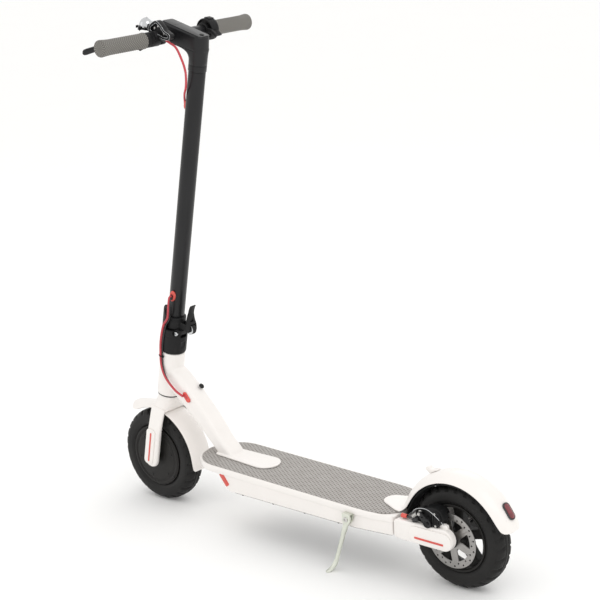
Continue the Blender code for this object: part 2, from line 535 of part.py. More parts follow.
headstock = part("headstock", "black_satin", rod(0.0197, STEM_TOP + GAP, 0.9860, steps=40, chamfer=0.001), steer)
add(headstock, prism(
    [(-0.1025, 0.9570), (-0.0450, 0.9570), (-0.0330, 0.9548), (-0.0240, 0.9500), (-0.0150, 0.9450), (0.0080, 0.9450),
     (0.0185, 0.9600), (0.0195, 0.9875), (-0.1025, 0.9953)], -0.0195, 0.0195, "Y", 0.0040, 3))
bar = Vector((BAR_A, 0, BAR_S))
cut(headstock, rod(BAR_R + GAP, -0.05, 0.05, bar, Y, 32))
glass = prism(round_rect(-0.0975, 0.0135, -0.0158, 0.0158, 0.005, 3), 0.9958, 0.9977, "Z")
for vert in glass.verts:
    vert.co.z -= TOP_SLOPE * (vert.co.x + 0.1025)
panel = part("display_panel", "black_gloss", glass, steer)
cut(panel, rod(0.0050, 0.98, 1.01, (0.0040, 0, 0), Z, 24))
part("power_button", "black_satin", rod(0.0045, 0.9906, 0.9922, (0.0040, 0, 0), Z, 24, 0.0004), steer, (0.004, 0, 0.998))
part("headlight", "lamp_lens", turned([(0, 0.0058), (0.0085, 0.0050), (0.0132, 0.0028), (0.0140, 0.0010), (0.0140, 0),
                                       (0, 0)], (-0.1028, 0, 0.9760), -X, 32), steer)

# Handlebar and controls
part("handlebar", "black_satin", tube(0.0090, BAR_R, -BAR_HALF, BAR_HALF, bar, Y, 32), steer)
inner = BAR_R + GAP
end = BAR_HALF + GAP
grip = [(0, end), (inner, end), (inner, 0.0963), (0.0168, 0.0963), (0.0172, 0.1000), (0.0156, 0.1050), (0.0155, 0.1950),
        (0.0172, 0.2040), (0.0176, 0.2130), (0.0165, 0.2165), (0, 0.2165)]
part("left_grip", "grip_rubber", turned(grip, bar, -Y, 24), steer)
part("right_grip", "grip_rubber", turned([(r, max(h, 0.1080 + (h - 0.0963) * 0.7) if h < 0.15 else h)
                                          for r, h in grip], bar, Y, 24), steer)
perch = part("brake_perch", "black_satin", rod(0.0158, -0.0950, -0.0570, bar, Y, 26, 0.0012), steer)
add(perch, box((-0.1080, -0.0743, 0.9571), (-0.0743, -0.0591, 0.9733)),
    prism([(-0.0850, 0.9830), (-0.0560, 0.9795), (-0.0422, 0.9772), (-0.0238, 0.9819), (-0.0249, 0.9916),
           (-0.0406, 0.9952), (-0.0520, 1.0043), (-0.0664, 1.0102), (-0.0777, 1.0030), (-0.0852, 0.9930)],
          -0.0652, -0.0507, "Y"))
cut(perch, rod(inner, -0.10, -0.05, bar, Y, 30), box((-0.12, -0.0900, 0.9604), (-0.0890, -0.0562, 0.9697)))
add(perch, rod(0.0022, 0.9585, 0.9718, (LEVER_A, LEVER_Y, 0), Z, 14))
lever = part("brake_lever", "black_satin", rod(0.0062, 0.9608, 0.9692, (LEVER_A, LEVER_Y, 0), Z, 24), steer,
             (LEVER_A, LEVER_Y, LEVER_S))
BLADES = [(-0.0670, -0.1000, 0.0040, 0.9650, 0.0036), (-0.0800, -0.1035, 0.0040, 0.9645, 0.0038),
          (-0.1000, -0.1110, 0.0034, 0.9615, 0.0052), (-0.1300, -0.1190, 0.0031, 0.9565, 0.0060),
          (-0.1650, -0.1260, 0.0030, 0.9505, 0.0064), (-0.1960, -0.1300, 0.0032, 0.9455, 0.0068),
          (-0.2020, -0.1300, 0.0026, 0.9450, 0.0050)]
add(lever, loft([[Vector((a + u, y, s + v)) for u, v in round_rect(-t, t, -h, h, min(t, h) * 0.8, 2)]
                 for y, a, t, s, h in BLADES]))
cut(lever, rod(0.0025, 0.95, 0.98, (LEVER_A, LEVER_Y, 0), Z, 16))

bell = Vector((-0.1080, -0.0500, 0))
bell_base = part("bell_base", "black_satin", rod(0.0146, -0.0500, -0.0400, bar, Y, 28, 0.001), steer)
add(bell_base, box((-0.1060, -0.0490, 0.9765), (-0.0750, -0.0410, 0.9822), 0.0008),
    rod(0.0136, 0.9810, 0.9845, bell, Z, 28),
    prism([(-0.1115, -0.0620), (-0.1115, -0.0715), (-0.1045, -0.0715), (-0.1045, -0.0620)], 0.9812, 0.9835, "Z"))
cut(bell_base, rod(inner, -0.06, -0.03, bar, Y, 32), rod(0.0016, 0.97, 0.99, (-0.1080, -0.0685, 0), Z, 12))
part("bell_dome", "steel", turned([(0, 1.0028), (0.0040, 1.0024), (0.0090, 1.0000), (0.0126, 0.9955), (0.0143, 0.9900),
                                   (0.0145, 0.9848), (0, 0.9848)], bell, Z, 28), steer)
striker = part("bell_striker", "black_satin", rod(0.0030, 0.9838, 0.9878, (-0.1080, -0.0685, 0), Z, 16), steer,
               (-0.1080, -0.0685, 0.985))
add(striker, rod(0.0013, 0.9790, 0.9850, (-0.1080, -0.0685, 0), Z, 12),
    box((-0.1160, -0.0700, 0.9842), (-0.1070, -0.0670, 0.9874)),
    box((-0.1180, -0.0710, 0.9832), (-0.1152, -0.0640, 0.9888)))

part("throttle_housing", "black_satin", tube(inner, 0.0225, 0.0840, 0.1055, bar, Y, 28, 0.0015), steer)
paddle = part("throttle_paddle", "black_satin", tube(inner, 0.0190, 0.0765, 0.0836, bar, Y, 24, 0.001), steer, bar)
add(paddle, prism([(BAR_A + 0.0150, 0.9740), (BAR_A + 0.0300, 0.9750), (BAR_A + 0.0400, 0.9700),
                   (BAR_A + 0.0390, 0.9670), (BAR_A + 0.0290, 0.9700), (BAR_A + 0.0150, 0.9690)], 0.0770, 0.0832, "Y", 0.0006),
    prism([(BAR_A + 0.0250, 0.9746), (BAR_A + 0.0300, 0.9748), (BAR_A + 0.0398, 0.9698),
           (BAR_A + 0.0388, 0.9673), (BAR_A + 0.0285, 0.9702), (BAR_A + 0.0250, 0.9702)], 0.0815, 0.0980, "Y", 0.0006))

# Charge socket cap on the down tube's rear face
rear_line, rear_out = Vector((0.635, 0, -0.7725)), Vector((0.7725, 0, 0.635))
cap_at = Vector((-0.3060, 0.0110, 0.2866)) + rear_out * 0.0012
part("charge_cap", "black_satin", rod(0.0078, 0, 0.0020, cap_at, rear_out, 24, 0.0006),
     pivot=cap_at - rear_line * 0.0078)

# Brake cables and their grommets
part("neck_grommet", "red_plastic", soften(loft([
    [Vector((-0.3160, y, 0.2700)) + rear_line * u + rear_out * v for u, v in
     round_rect(-0.013 * k, 0.013 * k, -0.0055 * k, 0.0055 * k, 0.0053 * k, 4)]
    for y, k in ((-0.0250, 1.0), (-0.0275, 1.0), (-0.0285, 0.86))]), 0.0002, 1, 60))
wire("lower_brake_cable", "cable_red",
     [(0.0015, -0.0243, 0.4020), (0.0017, -0.0268, 0.4018), (0.0026, -0.0300, 0.3985), (0.0040, -0.0320, 0.3830),
      (0.0045, -0.0322, 0.3530),
      (-0.0060, -0.0322, 0.3310), (-0.0100, -0.0322, 0.2980), (-0.0086, -0.0322, 0.2690), (-0.0018, -0.0322, 0.2340),
      (0.0152, -0.0322, 0.2085), (0.0456, -0.0322, 0.1910), (0.0700, -0.0317, 0.1850)], 0.0026, steer, 0.008)
wire("upper_cable", "cable_red",
     [(-0.0440, -0.0560, 0.9740), (-0.0360, -0.0500, 0.9690), (-0.0226, -0.0450, 0.9616), (-0.0064, -0.0420, 0.9400),
      (0.0010, -0.0370, 0.9180), (-0.0015, -0.0305, 0.8950), (-0.0080, -0.0250, 0.8760), (-0.0172, -0.0180, 0.8600),
      (-0.0262, -0.0090, 0.8470), (-0.0295, -0.0038, 0.8380), (-0.0275, -0.0031, 0.8334), (-0.0250, -0.0030, 0.8330)], 0.0024, steer, 0.008)
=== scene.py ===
"""Electric kick scooter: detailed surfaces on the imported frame, in a plain studio."""

import json
from math import atan2, cos, hypot, pi, radians, sin

import bmesh
import bpy
from mathutils import Matrix, Vector


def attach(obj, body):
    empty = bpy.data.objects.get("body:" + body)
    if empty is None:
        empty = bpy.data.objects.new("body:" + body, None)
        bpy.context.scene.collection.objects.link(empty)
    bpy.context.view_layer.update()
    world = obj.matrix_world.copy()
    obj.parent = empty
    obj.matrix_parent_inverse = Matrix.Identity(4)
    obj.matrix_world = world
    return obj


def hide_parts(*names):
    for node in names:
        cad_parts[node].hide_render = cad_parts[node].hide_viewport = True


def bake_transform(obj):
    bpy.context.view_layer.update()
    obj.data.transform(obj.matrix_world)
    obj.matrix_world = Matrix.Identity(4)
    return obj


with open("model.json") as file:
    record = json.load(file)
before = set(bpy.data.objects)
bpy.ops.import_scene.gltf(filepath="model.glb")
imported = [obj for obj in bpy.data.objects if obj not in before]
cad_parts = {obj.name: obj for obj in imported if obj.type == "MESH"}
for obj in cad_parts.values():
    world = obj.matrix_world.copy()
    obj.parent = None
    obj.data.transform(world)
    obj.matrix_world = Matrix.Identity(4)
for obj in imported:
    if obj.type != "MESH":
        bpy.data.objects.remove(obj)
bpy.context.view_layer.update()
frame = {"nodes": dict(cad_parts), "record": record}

X, Y, Z = Vector((1, 0, 0)), Vector((0, 1, 0)), Vector((0, 0, 1))
RAKE = radians(12.9)
FRONT_AXLE, REAR_AXLE = Vector((-0.432, 0, 0.108)), Vector((0.408, 0, 0.108))
# The steering's own frame: origin in the front axle, Z up the stem
STEER = Matrix.Translation(FRONT_AXLE) @ Matrix.Rotation(RAKE, 4, "Y")
BAR = Vector((-0.0683, 0, 0.9715))  # the handlebar's axis, in STEER
AXLE_HOLE, BAR_HOLE = 0.0063, 0.0113  # radii
DECK_SLOPE = 0.018
SKIN_VOXEL = 0.0011  # for the painted shells
KNURL_TEETH, KNURL_PITCH = 18.0, 1100.0  # of the grips: round the bar, and along it in radians per metre
SKIN = 0.0024  # thickness of a fender
scene = bpy.context.scene

# Bodies whose pieces are made in STEER
TURNING = {"fork", "stem", "latch_lever", "latch_knob", "throttle", "brake_lever", "bell_striker", "power_button"}
# The finishes that each material slot covers, the usual one first
FINISHES = {
    "white_paint": ("white",), "mat_rubber": ("mat",), "tyre_rubber": ("tyre",), "grip_rubber": ("grip",),
    "black_satin": ("black", "moulded", "hub", "sheath"), "black_gloss": ("gloss", "panel"),
    "red_plastic": ("red", "tail"), "cable_red": ("cable",), "steel": ("steel", "disc", "chrome"),
    "alloy": ("alloy",), "lamp_lens": ("lens",), "cell_wrap": ("wrap",),
}
SLOT = {finish: slot for slot, finishes in FINISHES.items() for finish in finishes}


# Materials
def new_material(name):
    material = bpy.data.materials.new(name)
    material.use_nodes = True
    tree = material.node_tree
    return material, tree, tree.nodes["Principled BSDF"]


def noise_node(tree, scale, detail=3.0, roughness=0.5):
    coords = tree.nodes.new("ShaderNodeTexCoord")
    texture = tree.nodes.new("ShaderNodeTexNoise")
    texture.inputs["Scale"].default_value = scale
    texture.inputs["Detail"].default_value = detail
    texture.inputs["Roughness"].default_value = roughness
    tree.links.new(coords.outputs["Object"], texture.inputs["Vector"])
    return texture


def ramp(tree, source, stops):
    node = tree.nodes.new("ShaderNodeValToRGB")
    elements = node.color_ramp.elements
    while len(elements) < len(stops):
        elements.new(0.5)
    for element, (place, colour) in zip(elements, stops):
        element.position = place
        element.color = (*colour, 1) if hasattr(colour, "__len__") else (colour, colour, colour, 1)
    tree.links.new(source, node.inputs["Fac"])
    return node.outputs["Color"]


def bump(tree, shader, height, strength, distance):
    node = tree.nodes.new("ShaderNodeBump")
    node.inputs["Strength"].default_value = strength
    node.inputs["Distance"].default_value = distance
    tree.links.new(height, node.inputs["Height"])
    tree.links.new(node.outputs["Normal"], shader.inputs["Normal"])


def surface(name, colour, rough, metallic=0.0, spread=0.06, rough_spread=0.08, grain=900, grain_depth=0.0001,
            grain_strength=0.25, patch=14, coat=0.0, specular=0.5):
    """A finish with broad colour drift, uneven gloss and a fine grain in relief."""
    material, tree, shader = new_material(name)
    broad = noise_node(tree, patch, 4)
    fine = noise_node(tree, grain, 3, 0.6)
    dark = tuple(c * (1 - spread) for c in colour)
    light = tuple(min(1, c * (1 + spread)) for c in colour)
    tree.links.new(ramp(tree, broad.outputs["Fac"], [(0.35, dark), (0.65, light)]), shader.inputs["Base Color"])
    tree.links.new(ramp(tree, fine.outputs["Fac"], [(0.3, max(0.02, rough - rough_spread)),
                                                   (0.7, min(1, rough + rough_spread))]), shader.inputs["Roughness"])
    bump(tree, shader, fine.outputs["Fac"], grain_strength, grain_depth)
    shader.inputs["Metallic"].default_value = metallic
    shader.inputs["Specular IOR Level"].default_value = specular
    shader.inputs["Coat Weight"].default_value = coat
    shader.inputs["Coat Roughness"].default_value = 0.08
    return material


M = {
    "white": surface("white_powder_coat", (0.86, 0.825, 0.795), 0.34, spread=0.012, grain=1600, grain_strength=0.12,
                     grain_depth=0.00005, coat=0.25),
    "tyre": surface("tyre_rubber", (0.012, 0.0115, 0.011), 0.55, spread=0.25, grain=1500, grain_strength=0.35,
                    grain_depth=0.0002, rough_spread=0.15, specular=0.25),
    "black": surface("satin_black_anodised", (0.0095, 0.0095, 0.0105), 0.34, spread=0.12, grain=2600,
                     grain_strength=0.15, grain_depth=0.00005, specular=0.34),
    "moulded": surface("moulded_black_plastic", (0.008, 0.008, 0.0085), 0.5, spread=0.15, grain=1800,
                       grain_strength=0.35, grain_depth=0.0001, specular=0.26),
    "hub": surface("cast_black_cover", (0.013, 0.012, 0.011), 0.54, spread=0.12, grain=1400, grain_strength=0.3,
                   grain_depth=0.0001, specular=0.26),
    "gloss": surface("polished_black_panel", (0.008, 0.008, 0.01), 0.06, spread=0.2, grain=300, rough_spread=0.02,
                     grain_strength=0.02, grain_depth=0.00002, coat=0.6),
    "panel": surface("smoked_display_panel", (0.024, 0.024, 0.025), 0.34, spread=0.2, grain=900, rough_spread=0.05,
                     grain_strength=0.05, grain_depth=0.00003, specular=0.35),
    "red": surface("red_moulded_plastic", (0.66, 0.075, 0.055), 0.33, spread=0.08, grain=1500, grain_strength=0.2,
                   grain_depth=0.00005, coat=0.3),
    "cable": surface("red_cable_sheath", (0.5, 0.05, 0.065), 0.38, spread=0.1, grain=1800, grain_strength=0.2,
                     grain_depth=0.00005),
    "sheath": surface("black_cable_sheath", (0.018, 0.018, 0.019), 0.42, spread=0.15, grain=1800,
                      grain_strength=0.2, grain_depth=0.00005),
    "steel": surface("turned_steel", (0.62, 0.61, 0.59), 0.28, 1.0, spread=0.05, grain=700, grain_strength=0.18,
                     grain_depth=0.00005, rough_spread=0.1),
    "disc": surface("ground_steel_disc", (0.35, 0.34, 0.33), 0.36, 1.0, spread=0.08, grain=1200,
                    grain_strength=0.25, grain_depth=0.00006, rough_spread=0.12),
    "chrome": surface("polished_chrome", (0.56, 0.57, 0.58), 0.14, 1.0, spread=0.03, grain=400, rough_spread=0.04,
                      grain_strength=0.03, grain_depth=0.00002),
    "alloy": surface("blasted_alloy", (0.7, 0.72, 0.64), 0.42, 0.75, spread=0.06, grain=2000,
                     grain_strength=0.35, grain_depth=0.00008),
    "lens": surface("moulded_lamp_lens", (0.8, 0.82, 0.84), 0.08, spread=0.04, grain=900, grain_strength=0.15,
                    grain_depth=0.0001, coat=0.5),
    "tail": surface("dark_red_lens", (0.16, 0.012, 0.018), 0.12, spread=0.25, grain=1100, grain_strength=0.4,
                    grain_depth=0.0002, coat=0.6, patch=180),
    "wrap": surface("blue_cell_wrap", (0.06, 0.12, 0.34), 0.35, spread=0.12, grain=900),
}


def patterned(name):
    """A new material with the outputs of its object coordinates, and a function that adds a maths node."""
    material, tree, shader = new_material(name)
    coords = tree.nodes.new("ShaderNodeTexCoord")
    split = tree.nodes.new("ShaderNodeSeparateXYZ")
    tree.links.new(coords.outputs["Object"], split.inputs["Vector"])

    def math(kind, *values):
        node = tree.nodes.new("ShaderNodeMath")
        node.operation = kind
        for socket, value in zip(node.inputs, values):
            if isinstance(value, (int, float)):
                socket.default_value = value
            else:
                tree.links.new(value, socket)
        return node.outputs[0]

    return material, tree, shader, split.outputs, math


def grooved_mat():
    """Grey rubber with rows of short grooves across the deck, each row half a pitch on from the last; the grooves are
    painted dark as shade in the recesses.
    """
    material, tree, shader, place, math = patterned("grooved_grey_mat")
    row_pitch, groove_pitch, positive = 0.0068, 0.0088, 400.0

    def from_middle(count):
        return math("ABSOLUTE", math("SUBTRACT", math("FRACT", math("ADD", count, positive)), 0.5))

    row = math("DIVIDE", place["X"], row_pitch)
    odd = math("FLOOR", math("MODULO", math("ADD", row, positive), 2.0))
    column = math("ADD", math("DIVIDE", place["Y"], groove_pitch), math("MULTIPLY", odd, 0.5))
    groove = math("MULTIPLY", math("LESS_THAN", from_middle(row), 0.2), math("LESS_THAN", from_middle(column), 0.26))
    soft = noise_node(tree, 60, 4)
    fine = noise_node(tree, 1600, 2)
    # The mix paints the grooves dark, as shade in the recesses.
    mix = tree.nodes.new("ShaderNodeMix")
    mix.data_type = "RGBA"
    tree.links.new(groove, mix.inputs["Factor"])
    tree.links.new(ramp(tree, soft.outputs["Fac"], [(0.3, (0.385, 0.365, 0.345)), (0.7, (0.435, 0.415, 0.395))]),
                   mix.inputs["A"])
    mix.inputs["B"].default_value = (0.17, 0.155, 0.145, 1)
    tree.links.new(mix.outputs["Result"], shader.inputs["Base Color"])
    bump(tree, shader, math("SUBTRACT", math("MULTIPLY", fine.outputs["Fac"], 0.15), groove), 0.5, 0.0006)
    tree.links.new(ramp(tree, fine.outputs["Fac"], [(0.3, 0.72), (0.7, 0.9)]), shader.inputs["Roughness"])
    shader.inputs["Specular IOR Level"].default_value = 0.3
    return material


def knurled_grip():
    """Warm grey rubber with a fine diamond knurl round the axis of the bar, painted darker in the knurl's valleys as
    shade.
    """
    material, tree, shader, place, math = patterned("grip_rubber")
    centre = STEER @ BAR
    turn = math("MULTIPLY", math("ARCTAN2", math("SUBTRACT", place["Z"], centre.z),
                                 math("SUBTRACT", place["X"], centre.x)), KNURL_TEETH)
    length = math("MULTIPLY", place["Y"], KNURL_PITCH)
    low = math("MINIMUM", math("SINE", math("ADD", turn, length)), math("SINE", math("SUBTRACT", turn, length)))
    fine = noise_node(tree, 2200, 3)
    # Painted shade: the colour darkens in the knurl's valleys and is lighter on its ridges.
    tree.links.new(ramp(tree, math("ADD", math("MULTIPLY", low, 0.5), 0.5),
                        [(0.08, (0.115, 0.11, 0.1)), (0.42, (0.245, 0.235, 0.215))]), shader.inputs["Base Color"])
    tree.links.new(ramp(tree, fine.outputs["Fac"], [(0.3, 0.62), (0.7, 0.8)]), shader.inputs["Roughness"])
    bump(tree, shader, math("ADD", math("MULTIPLY", fine.outputs["Fac"], 0.2), low), 0.4, 0.0003)
    shader.inputs["Specular IOR Level"].default_value = 0.35
    return material


M["mat"], M["grip"] = grooved_mat(), knurled_grip()


# Shapes. Each returns a bmesh in the coordinates of the frame it is made in.
def outward(mesh):
    bmesh.ops.recalc_face_normals(mesh, faces=mesh.faces)
    return mesh


def piece(name, mesh, finish, body, slot=None, replaces=None, smooth=38, bevel=0.0):
    """A shown piece that rides on a body, or on none. X_detail stands for the CAD node X."""
    outward(mesh)
    if body is None or body in TURNING:
        mesh.transform(STEER)
    data = bpy.data.meshes.new(name)
    mesh.to_mesh(data)
    mesh.free()
    obj = bpy.data.objects.new(name, data)
    scene.collection.objects.link(obj)
    data.materials.append(M[finish])
    data.shade_smooth()
    data.set_sharp_from_angle(angle=radians(smooth))
    if bevel:
        modifier = obj.modifiers.new("bevel", "BEVEL")
        modifier.width, modifier.segments, modifier.limit_method = bevel, 2, "ANGLE"
        modifier.angle_limit, modifier.harden_normals = radians(35), True
    if body:
        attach(obj, body)
    slot or SLOT[finish]
    if replaces is None and name.endswith("_detail"):
        replaces = (name.removesuffix("_detail"),)
    if replaces:
        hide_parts(*replaces)
    return obj


def both_sides(name, outline, near, far, finish, body, width, segments, **looks):
    """A flat pad on each side of the scooter, from near to far off its middle."""
    for side, word in ((-1, "left"), (1, "right")):
        low, high = sorted((side * near, side * far))
        piece(name % word, prism(outline, low, high, "Y", width, segments), finish, body, **looks)


def join(*meshes):
    """One mesh holding several closed ones."""
    data = bpy.data.meshes.new("joined")
    whole = bmesh.new()
    for mesh in meshes:
        outward(mesh)
        mesh.to_mesh(data)
        whole.from_mesh(data)
        mesh.free()
        data.clear_geometry()
    bpy.data.meshes.remove(data)
    return whole


def box(low, high):
    mesh = bmesh.new()
    bmesh.ops.create_cube(mesh, size=1)
    for vert in mesh.verts:
        vert.co = Vector(low[i] + (vert.co[i] + 0.5) * (high[i] - low[i]) for i in range(3))
    return mesh


def soften(mesh, width, segments=3, angle=28):
    """Bevels every edge sharper than angle."""
    sharp = [e for e in mesh.edges if e.is_manifold and e.calc_face_angle(0) > radians(angle)]
    bmesh.ops.bevel(mesh, geom=sharp, offset=width, segments=segments, affect="EDGES", profile=0.5,
                    clamp_overlap=True)
    return mesh


def turned(profile, centre=(0, 0, 0), axis=Z, steps=64, ring=False):
    """A solid of revolution: the profile is (radius, height) pairs, and a ring's profile is closed."""
    mesh = bmesh.new()
    verts = [mesh.verts.new((r, 0, h)) for r, h in profile]
    edges = [mesh.edges.new(pair) for pair in zip(verts, verts[1:])]
    if ring:
        edges.append(mesh.edges.new((verts[-1], verts[0])))
    bmesh.ops.spin(mesh, geom=verts + edges, cent=(0, 0, 0), axis=(0, 0, 1), angle=2 * pi, steps=steps,
                   use_merge=True)
    bmesh.ops.remove_doubles(mesh, verts=mesh.verts, dist=1e-6)
    mesh.transform(Matrix.Translation(Vector(centre)) @ Z.rotation_difference(Vector(axis)).to_matrix().to_4x4())
    return mesh


def rounded(points, radius, n=3):
    """A profile with each inner corner rounded off."""
    result = [Vector((*points[0], 0))]
    for a, b, c in zip(points, points[1:], points[2:]):
        a, b, c = (Vector((*p, 0)) for p in (a, b, c))
        u, v = (a - b), (c - b)
        r = min(radius, u.length * 0.45, v.length * 0.45)
        p, q = b + u.normalized() * r, b + v.normalized() * r
        result += [p.lerp(b, t).lerp(b.lerp(q, t), t) for t in [i / n for i in range(n + 1)]]
    result.append(Vector((*points[-1], 0)))
    return [(p.x, p.y) for p in result]


def eased_edge(radius, low, high, c):
    """The outer edge of a round part in profile, its two corners eased by c."""
    return [(radius - c, high), (radius - 0.3 * c, high - 0.3 * c), (radius, high - c),
            (radius, low + c), (radius - 0.3 * c, low + 0.3 * c), (radius - c, low)]


def rod(radius, low, high, centre=(0, 0, 0), axis=Z, steps=40, round_off=0.0004):
    return turned([(0, high), *eased_edge(radius, low, high, round_off), (0, low)], centre, axis, steps)


def tube(inner, outer, low, high, centre=(0, 0, 0), axis=Z, steps=48, round_off=0.0005):
    line = [(inner, high), *eased_edge(outer, low, high, round_off), (inner, low)]
    return turned(line, centre, axis, steps, ring=True)


def prism(outline, low, high, axis="Y", width=0.0, segments=3):
    """A plate from low to high along Y or Z, with edges softened to width."""
    place = {"Y": lambda u, v, w: (u, w, v), "Z": lambda u, v, w: (u, v, w)}[axis]
    mesh = bmesh.new()
    face = mesh.faces.new([mesh.verts.new(place(u, v, low)) for u, v in outline])
    grown = bmesh.ops.extrude_face_region(mesh, geom=[face])["geom"]
    bmesh.ops.translate(mesh, vec=Vector(place(0, 0, high - low)),
                        verts=[g for g in grown if isinstance(g, bmesh.types.BMVert)])
    outward(mesh)
    return soften(mesh, width, segments) if width else mesh


def round_rect(u0, u1, v0, v1, r, n=6):
    points = []
    for k, (cu, cv) in enumerate([(u1 - r, v1 - r), (u0 + r, v1 - r), (u0 + r, v0 + r), (u1 - r, v0 + r)]):
        for i in range(n + 1):
            t = (k + i / n) * pi / 2
            points.append((cu + r * cos(t), cv + r * sin(t)))
    return points


def arc(cu, cv, r, t0, t1, n=16):
    """Points of an arc between two angles in degrees."""
    return [(cu + r * cos(radians(t0 + (t1 - t0) * i / n)), cv + r * sin(radians(t0 + (t1 - t0) * i / n)))
            for i in range(n + 1)]


def loft(sections, closed=False):
    """A skin through sections of equal length, capped at both ends or closed into a ring."""
    mesh = bmesh.new()
    rings = [[mesh.verts.new(p) for p in section] for section in sections]
    count = len(rings[0])
    pairs = list(zip(rings, rings[1:])) + ([(rings[-1], rings[0])] if closed else [])
    for one, two in pairs:
        for i in range(count):
            j = (i + 1) % count
            mesh.faces.new((one[i], one[j], two[j], two[i]))
    if not closed:
        mesh.faces.new(rings[0])
        mesh.faces.new(rings[-1])
    return outward(mesh)


def mirrored(mesh):
    copy = mesh.copy()
    copy.transform(Matrix.Diagonal((1, -1, 1, 1)))
    return outward(copy)


def between(a, b, c, d, t):
    """The point at t on the smooth curve from b to c, with a before them and d after."""
    return 0.5 * (2 * b + (c - a) * t + (2 * a - 5 * b + 4 * c - d) * t ** 2 + (3 * b - a - 3 * c + d) * t ** 3)


def curve_points(points, step):
    """A smooth curve through points of any dimension, about one step apart."""
    route = [Vector(p) for p in points]
    route = [2 * route[0] - route[1]] + route + [2 * route[-1] - route[-2]]
    path = []
    for p0, p1, p2, p3 in zip(route, route[1:], route[2:], route[3:]):
        count = max(1, round((p2 - p1).length / step))
        path += [between(p0, p1, p2, p3, i / count) for i in range(count)]
    return path + [route[-2]]


def dense(rows, count):
    """Rows of numbers interpolated smoothly to count rows."""
    out = []
    for i in range(count):
        u = i / (count - 1) * (len(rows) - 1)
        k = min(int(u), len(rows) - 2)
        near = [rows[max(0, min(len(rows) - 1, k + d))] for d in (-1, 0, 1, 2)]
        out.append(tuple(between(*four, u - k) for four in zip(*near)))
    return out


def turn_steps(count):
    """The angles of a full turn in equal steps."""
    return [2 * pi * k / count for k in range(count)]


def upright(angle):
    """A unit vector in the XZ plane, at an angle from X."""
    return Vector((cos(angle), 0, sin(angle)))


def pipe(points, radius, step=0.002, sides=16):
    """A round wire along a smooth curve, as a mesh."""
    path = curve_points(points, step)
    up = Vector((0.2, 0.3, 0.9))
    rings = []
    for i, p in enumerate(path):
        along = (path[min(i + 1, len(path) - 1)] - path[max(i - 1, 0)]).normalized()
        side = along.cross(up).normalized()
        up = side.cross(along).normalized()
        rings.append([p + (side * cos(t) + up * sin(t)) * radius for t in turn_steps(sides)])
    return loft(rings)


def apply_modifiers(mesh, *steps):
    """Runs modifiers over a bmesh; each step is a function that sets one up on the object."""
    data = bpy.data.meshes.new("work")
    outward(mesh)
    mesh.to_mesh(data)
    mesh.free()
    obj = bpy.data.objects.new("work", data)
    scene.collection.objects.link(obj)
    for step in steps:
        step(obj)
    bpy.context.view_layer.update()
    result = bpy.data.meshes.new_from_object(obj.evaluated_get(bpy.context.evaluated_depsgraph_get()))
    out = bmesh.new()
    out.from_mesh(result)
    bpy.data.objects.remove(obj)
    bpy.data.meshes.remove(data)
    bpy.data.meshes.remove(result)
    return out


def combined(mesh, other, operation):
    """A boolean of two meshes."""
    data = bpy.data.meshes.new("other")
    outward(other)
    other.to_mesh(data)
    other.free()
    helper = bpy.data.objects.new("other", data)
    scene.collection.objects.link(helper)

    def step(obj):
        modifier = obj.modifiers.new("boolean", "BOOLEAN")
        modifier.operation, modifier.solver, modifier.object = operation, "EXACT", helper

    out = apply_modifiers(mesh, step)
    bpy.data.objects.remove(helper)
    bpy.data.meshes.remove(data)
    return out


def union(mesh, *others):
    for other in others:
        mesh = combined(mesh, other, "UNION")
    return mesh


def minus(mesh, *others):
    for other in others:
        mesh = combined(mesh, other, "DIFFERENCE")
    return mesh


def blended(mesh, voxel, passes=10, factor=0.5):
    """One skin over overlapping solids, with soft fillets where they meet."""
    def remesh(obj):
        modifier = obj.modifiers.new("remesh", "REMESH")
        modifier.mode, modifier.voxel_size = "VOXEL", voxel * 1
        modifier.use_smooth_shade = True

    def smooth(obj):
        modifier = obj.modifiers.new("smooth", "SMOOTH")
        modifier.factor, modifier.iterations = factor, passes // 1

    return apply_modifiers(mesh, remesh, smooth)


def screw_head(centre, axis, radius, height):
    """A cap screw's head with a hexagonal socket."""
    head = rod(radius, 0, height, centre, axis, 24, height * 0.3)
    hexagon = turned([(0, height * 2), (radius * 0.5, height * 2), (radius * 0.5, height * 0.4), (0, height * 0.4)],
                     centre, axis, 6)
    return minus(head, hexagon)


def sloped(mesh):
    """Tilts a level shape to the deck's fall towards the rear."""
    for vert in mesh.verts:
        vert.co.z -= DECK_SLOPE * vert.co.x
    return mesh


# Wheels
def about_axle(axle, mesh):
    bmesh.ops.translate(mesh, vec=axle, verts=mesh.verts)
    return mesh


def tyre(name, axle, body):
    """A tyre with a grooved tread: angled cuts down each shoulder and two rings round the crown."""
    profile = rounded([(0.0712, 0.0208), (0.0735, 0.0228), (0.0765, 0.0247), (0.08, 0.0257), (0.086, 0.0261),
                       (0.092, 0.0257), (0.0965, 0.0243), (0.1005, 0.0217), (0.1035, 0.0185), (0.106, 0.0145),
                       (0.1074, 0.01), (0.1079, 0.0062), (0.1067, 0.0054), (0.1067, 0.0042), (0.108, 0.0034),
                       (0.108, 0.0)], 0.0006, 1)
    line = profile + [(r, -h) for r, h in profile[-2::-1]]
    steps = 252
    mesh = turned(line, (0, 0, 0), Y, steps, ring=True)
    for vert in mesh.verts:
        r, y = hypot(vert.co.x, vert.co.z), vert.co.y
        if r > 0.0985:
            t = atan2(vert.co.z, vert.co.x) * steps / (2 * pi)
            across = abs(y)
            if (t + (across - 0.005) * 190) % 9.0 < 2.4 and 0.0068 < across < 0.0225:
                k = (r - 0.003 * min(1, (across - 0.0068) / 0.002)) / r
                vert.co.x *= k
                vert.co.z *= k
        for ring_r, lift in ((0.08, 0.0004), (0.092, 0.0003)):
            if abs(r - ring_r) < 0.0006:
                vert.co.y += lift * (1 if y > 0 else -1)
    piece(name, about_axle(axle, mesh), "tyre", body, smooth=50)


tyre("front_tyre_detail", FRONT_AXLE, "front_wheel")
tyre("rear_tyre_detail", REAR_AXLE, "rear_wheel")

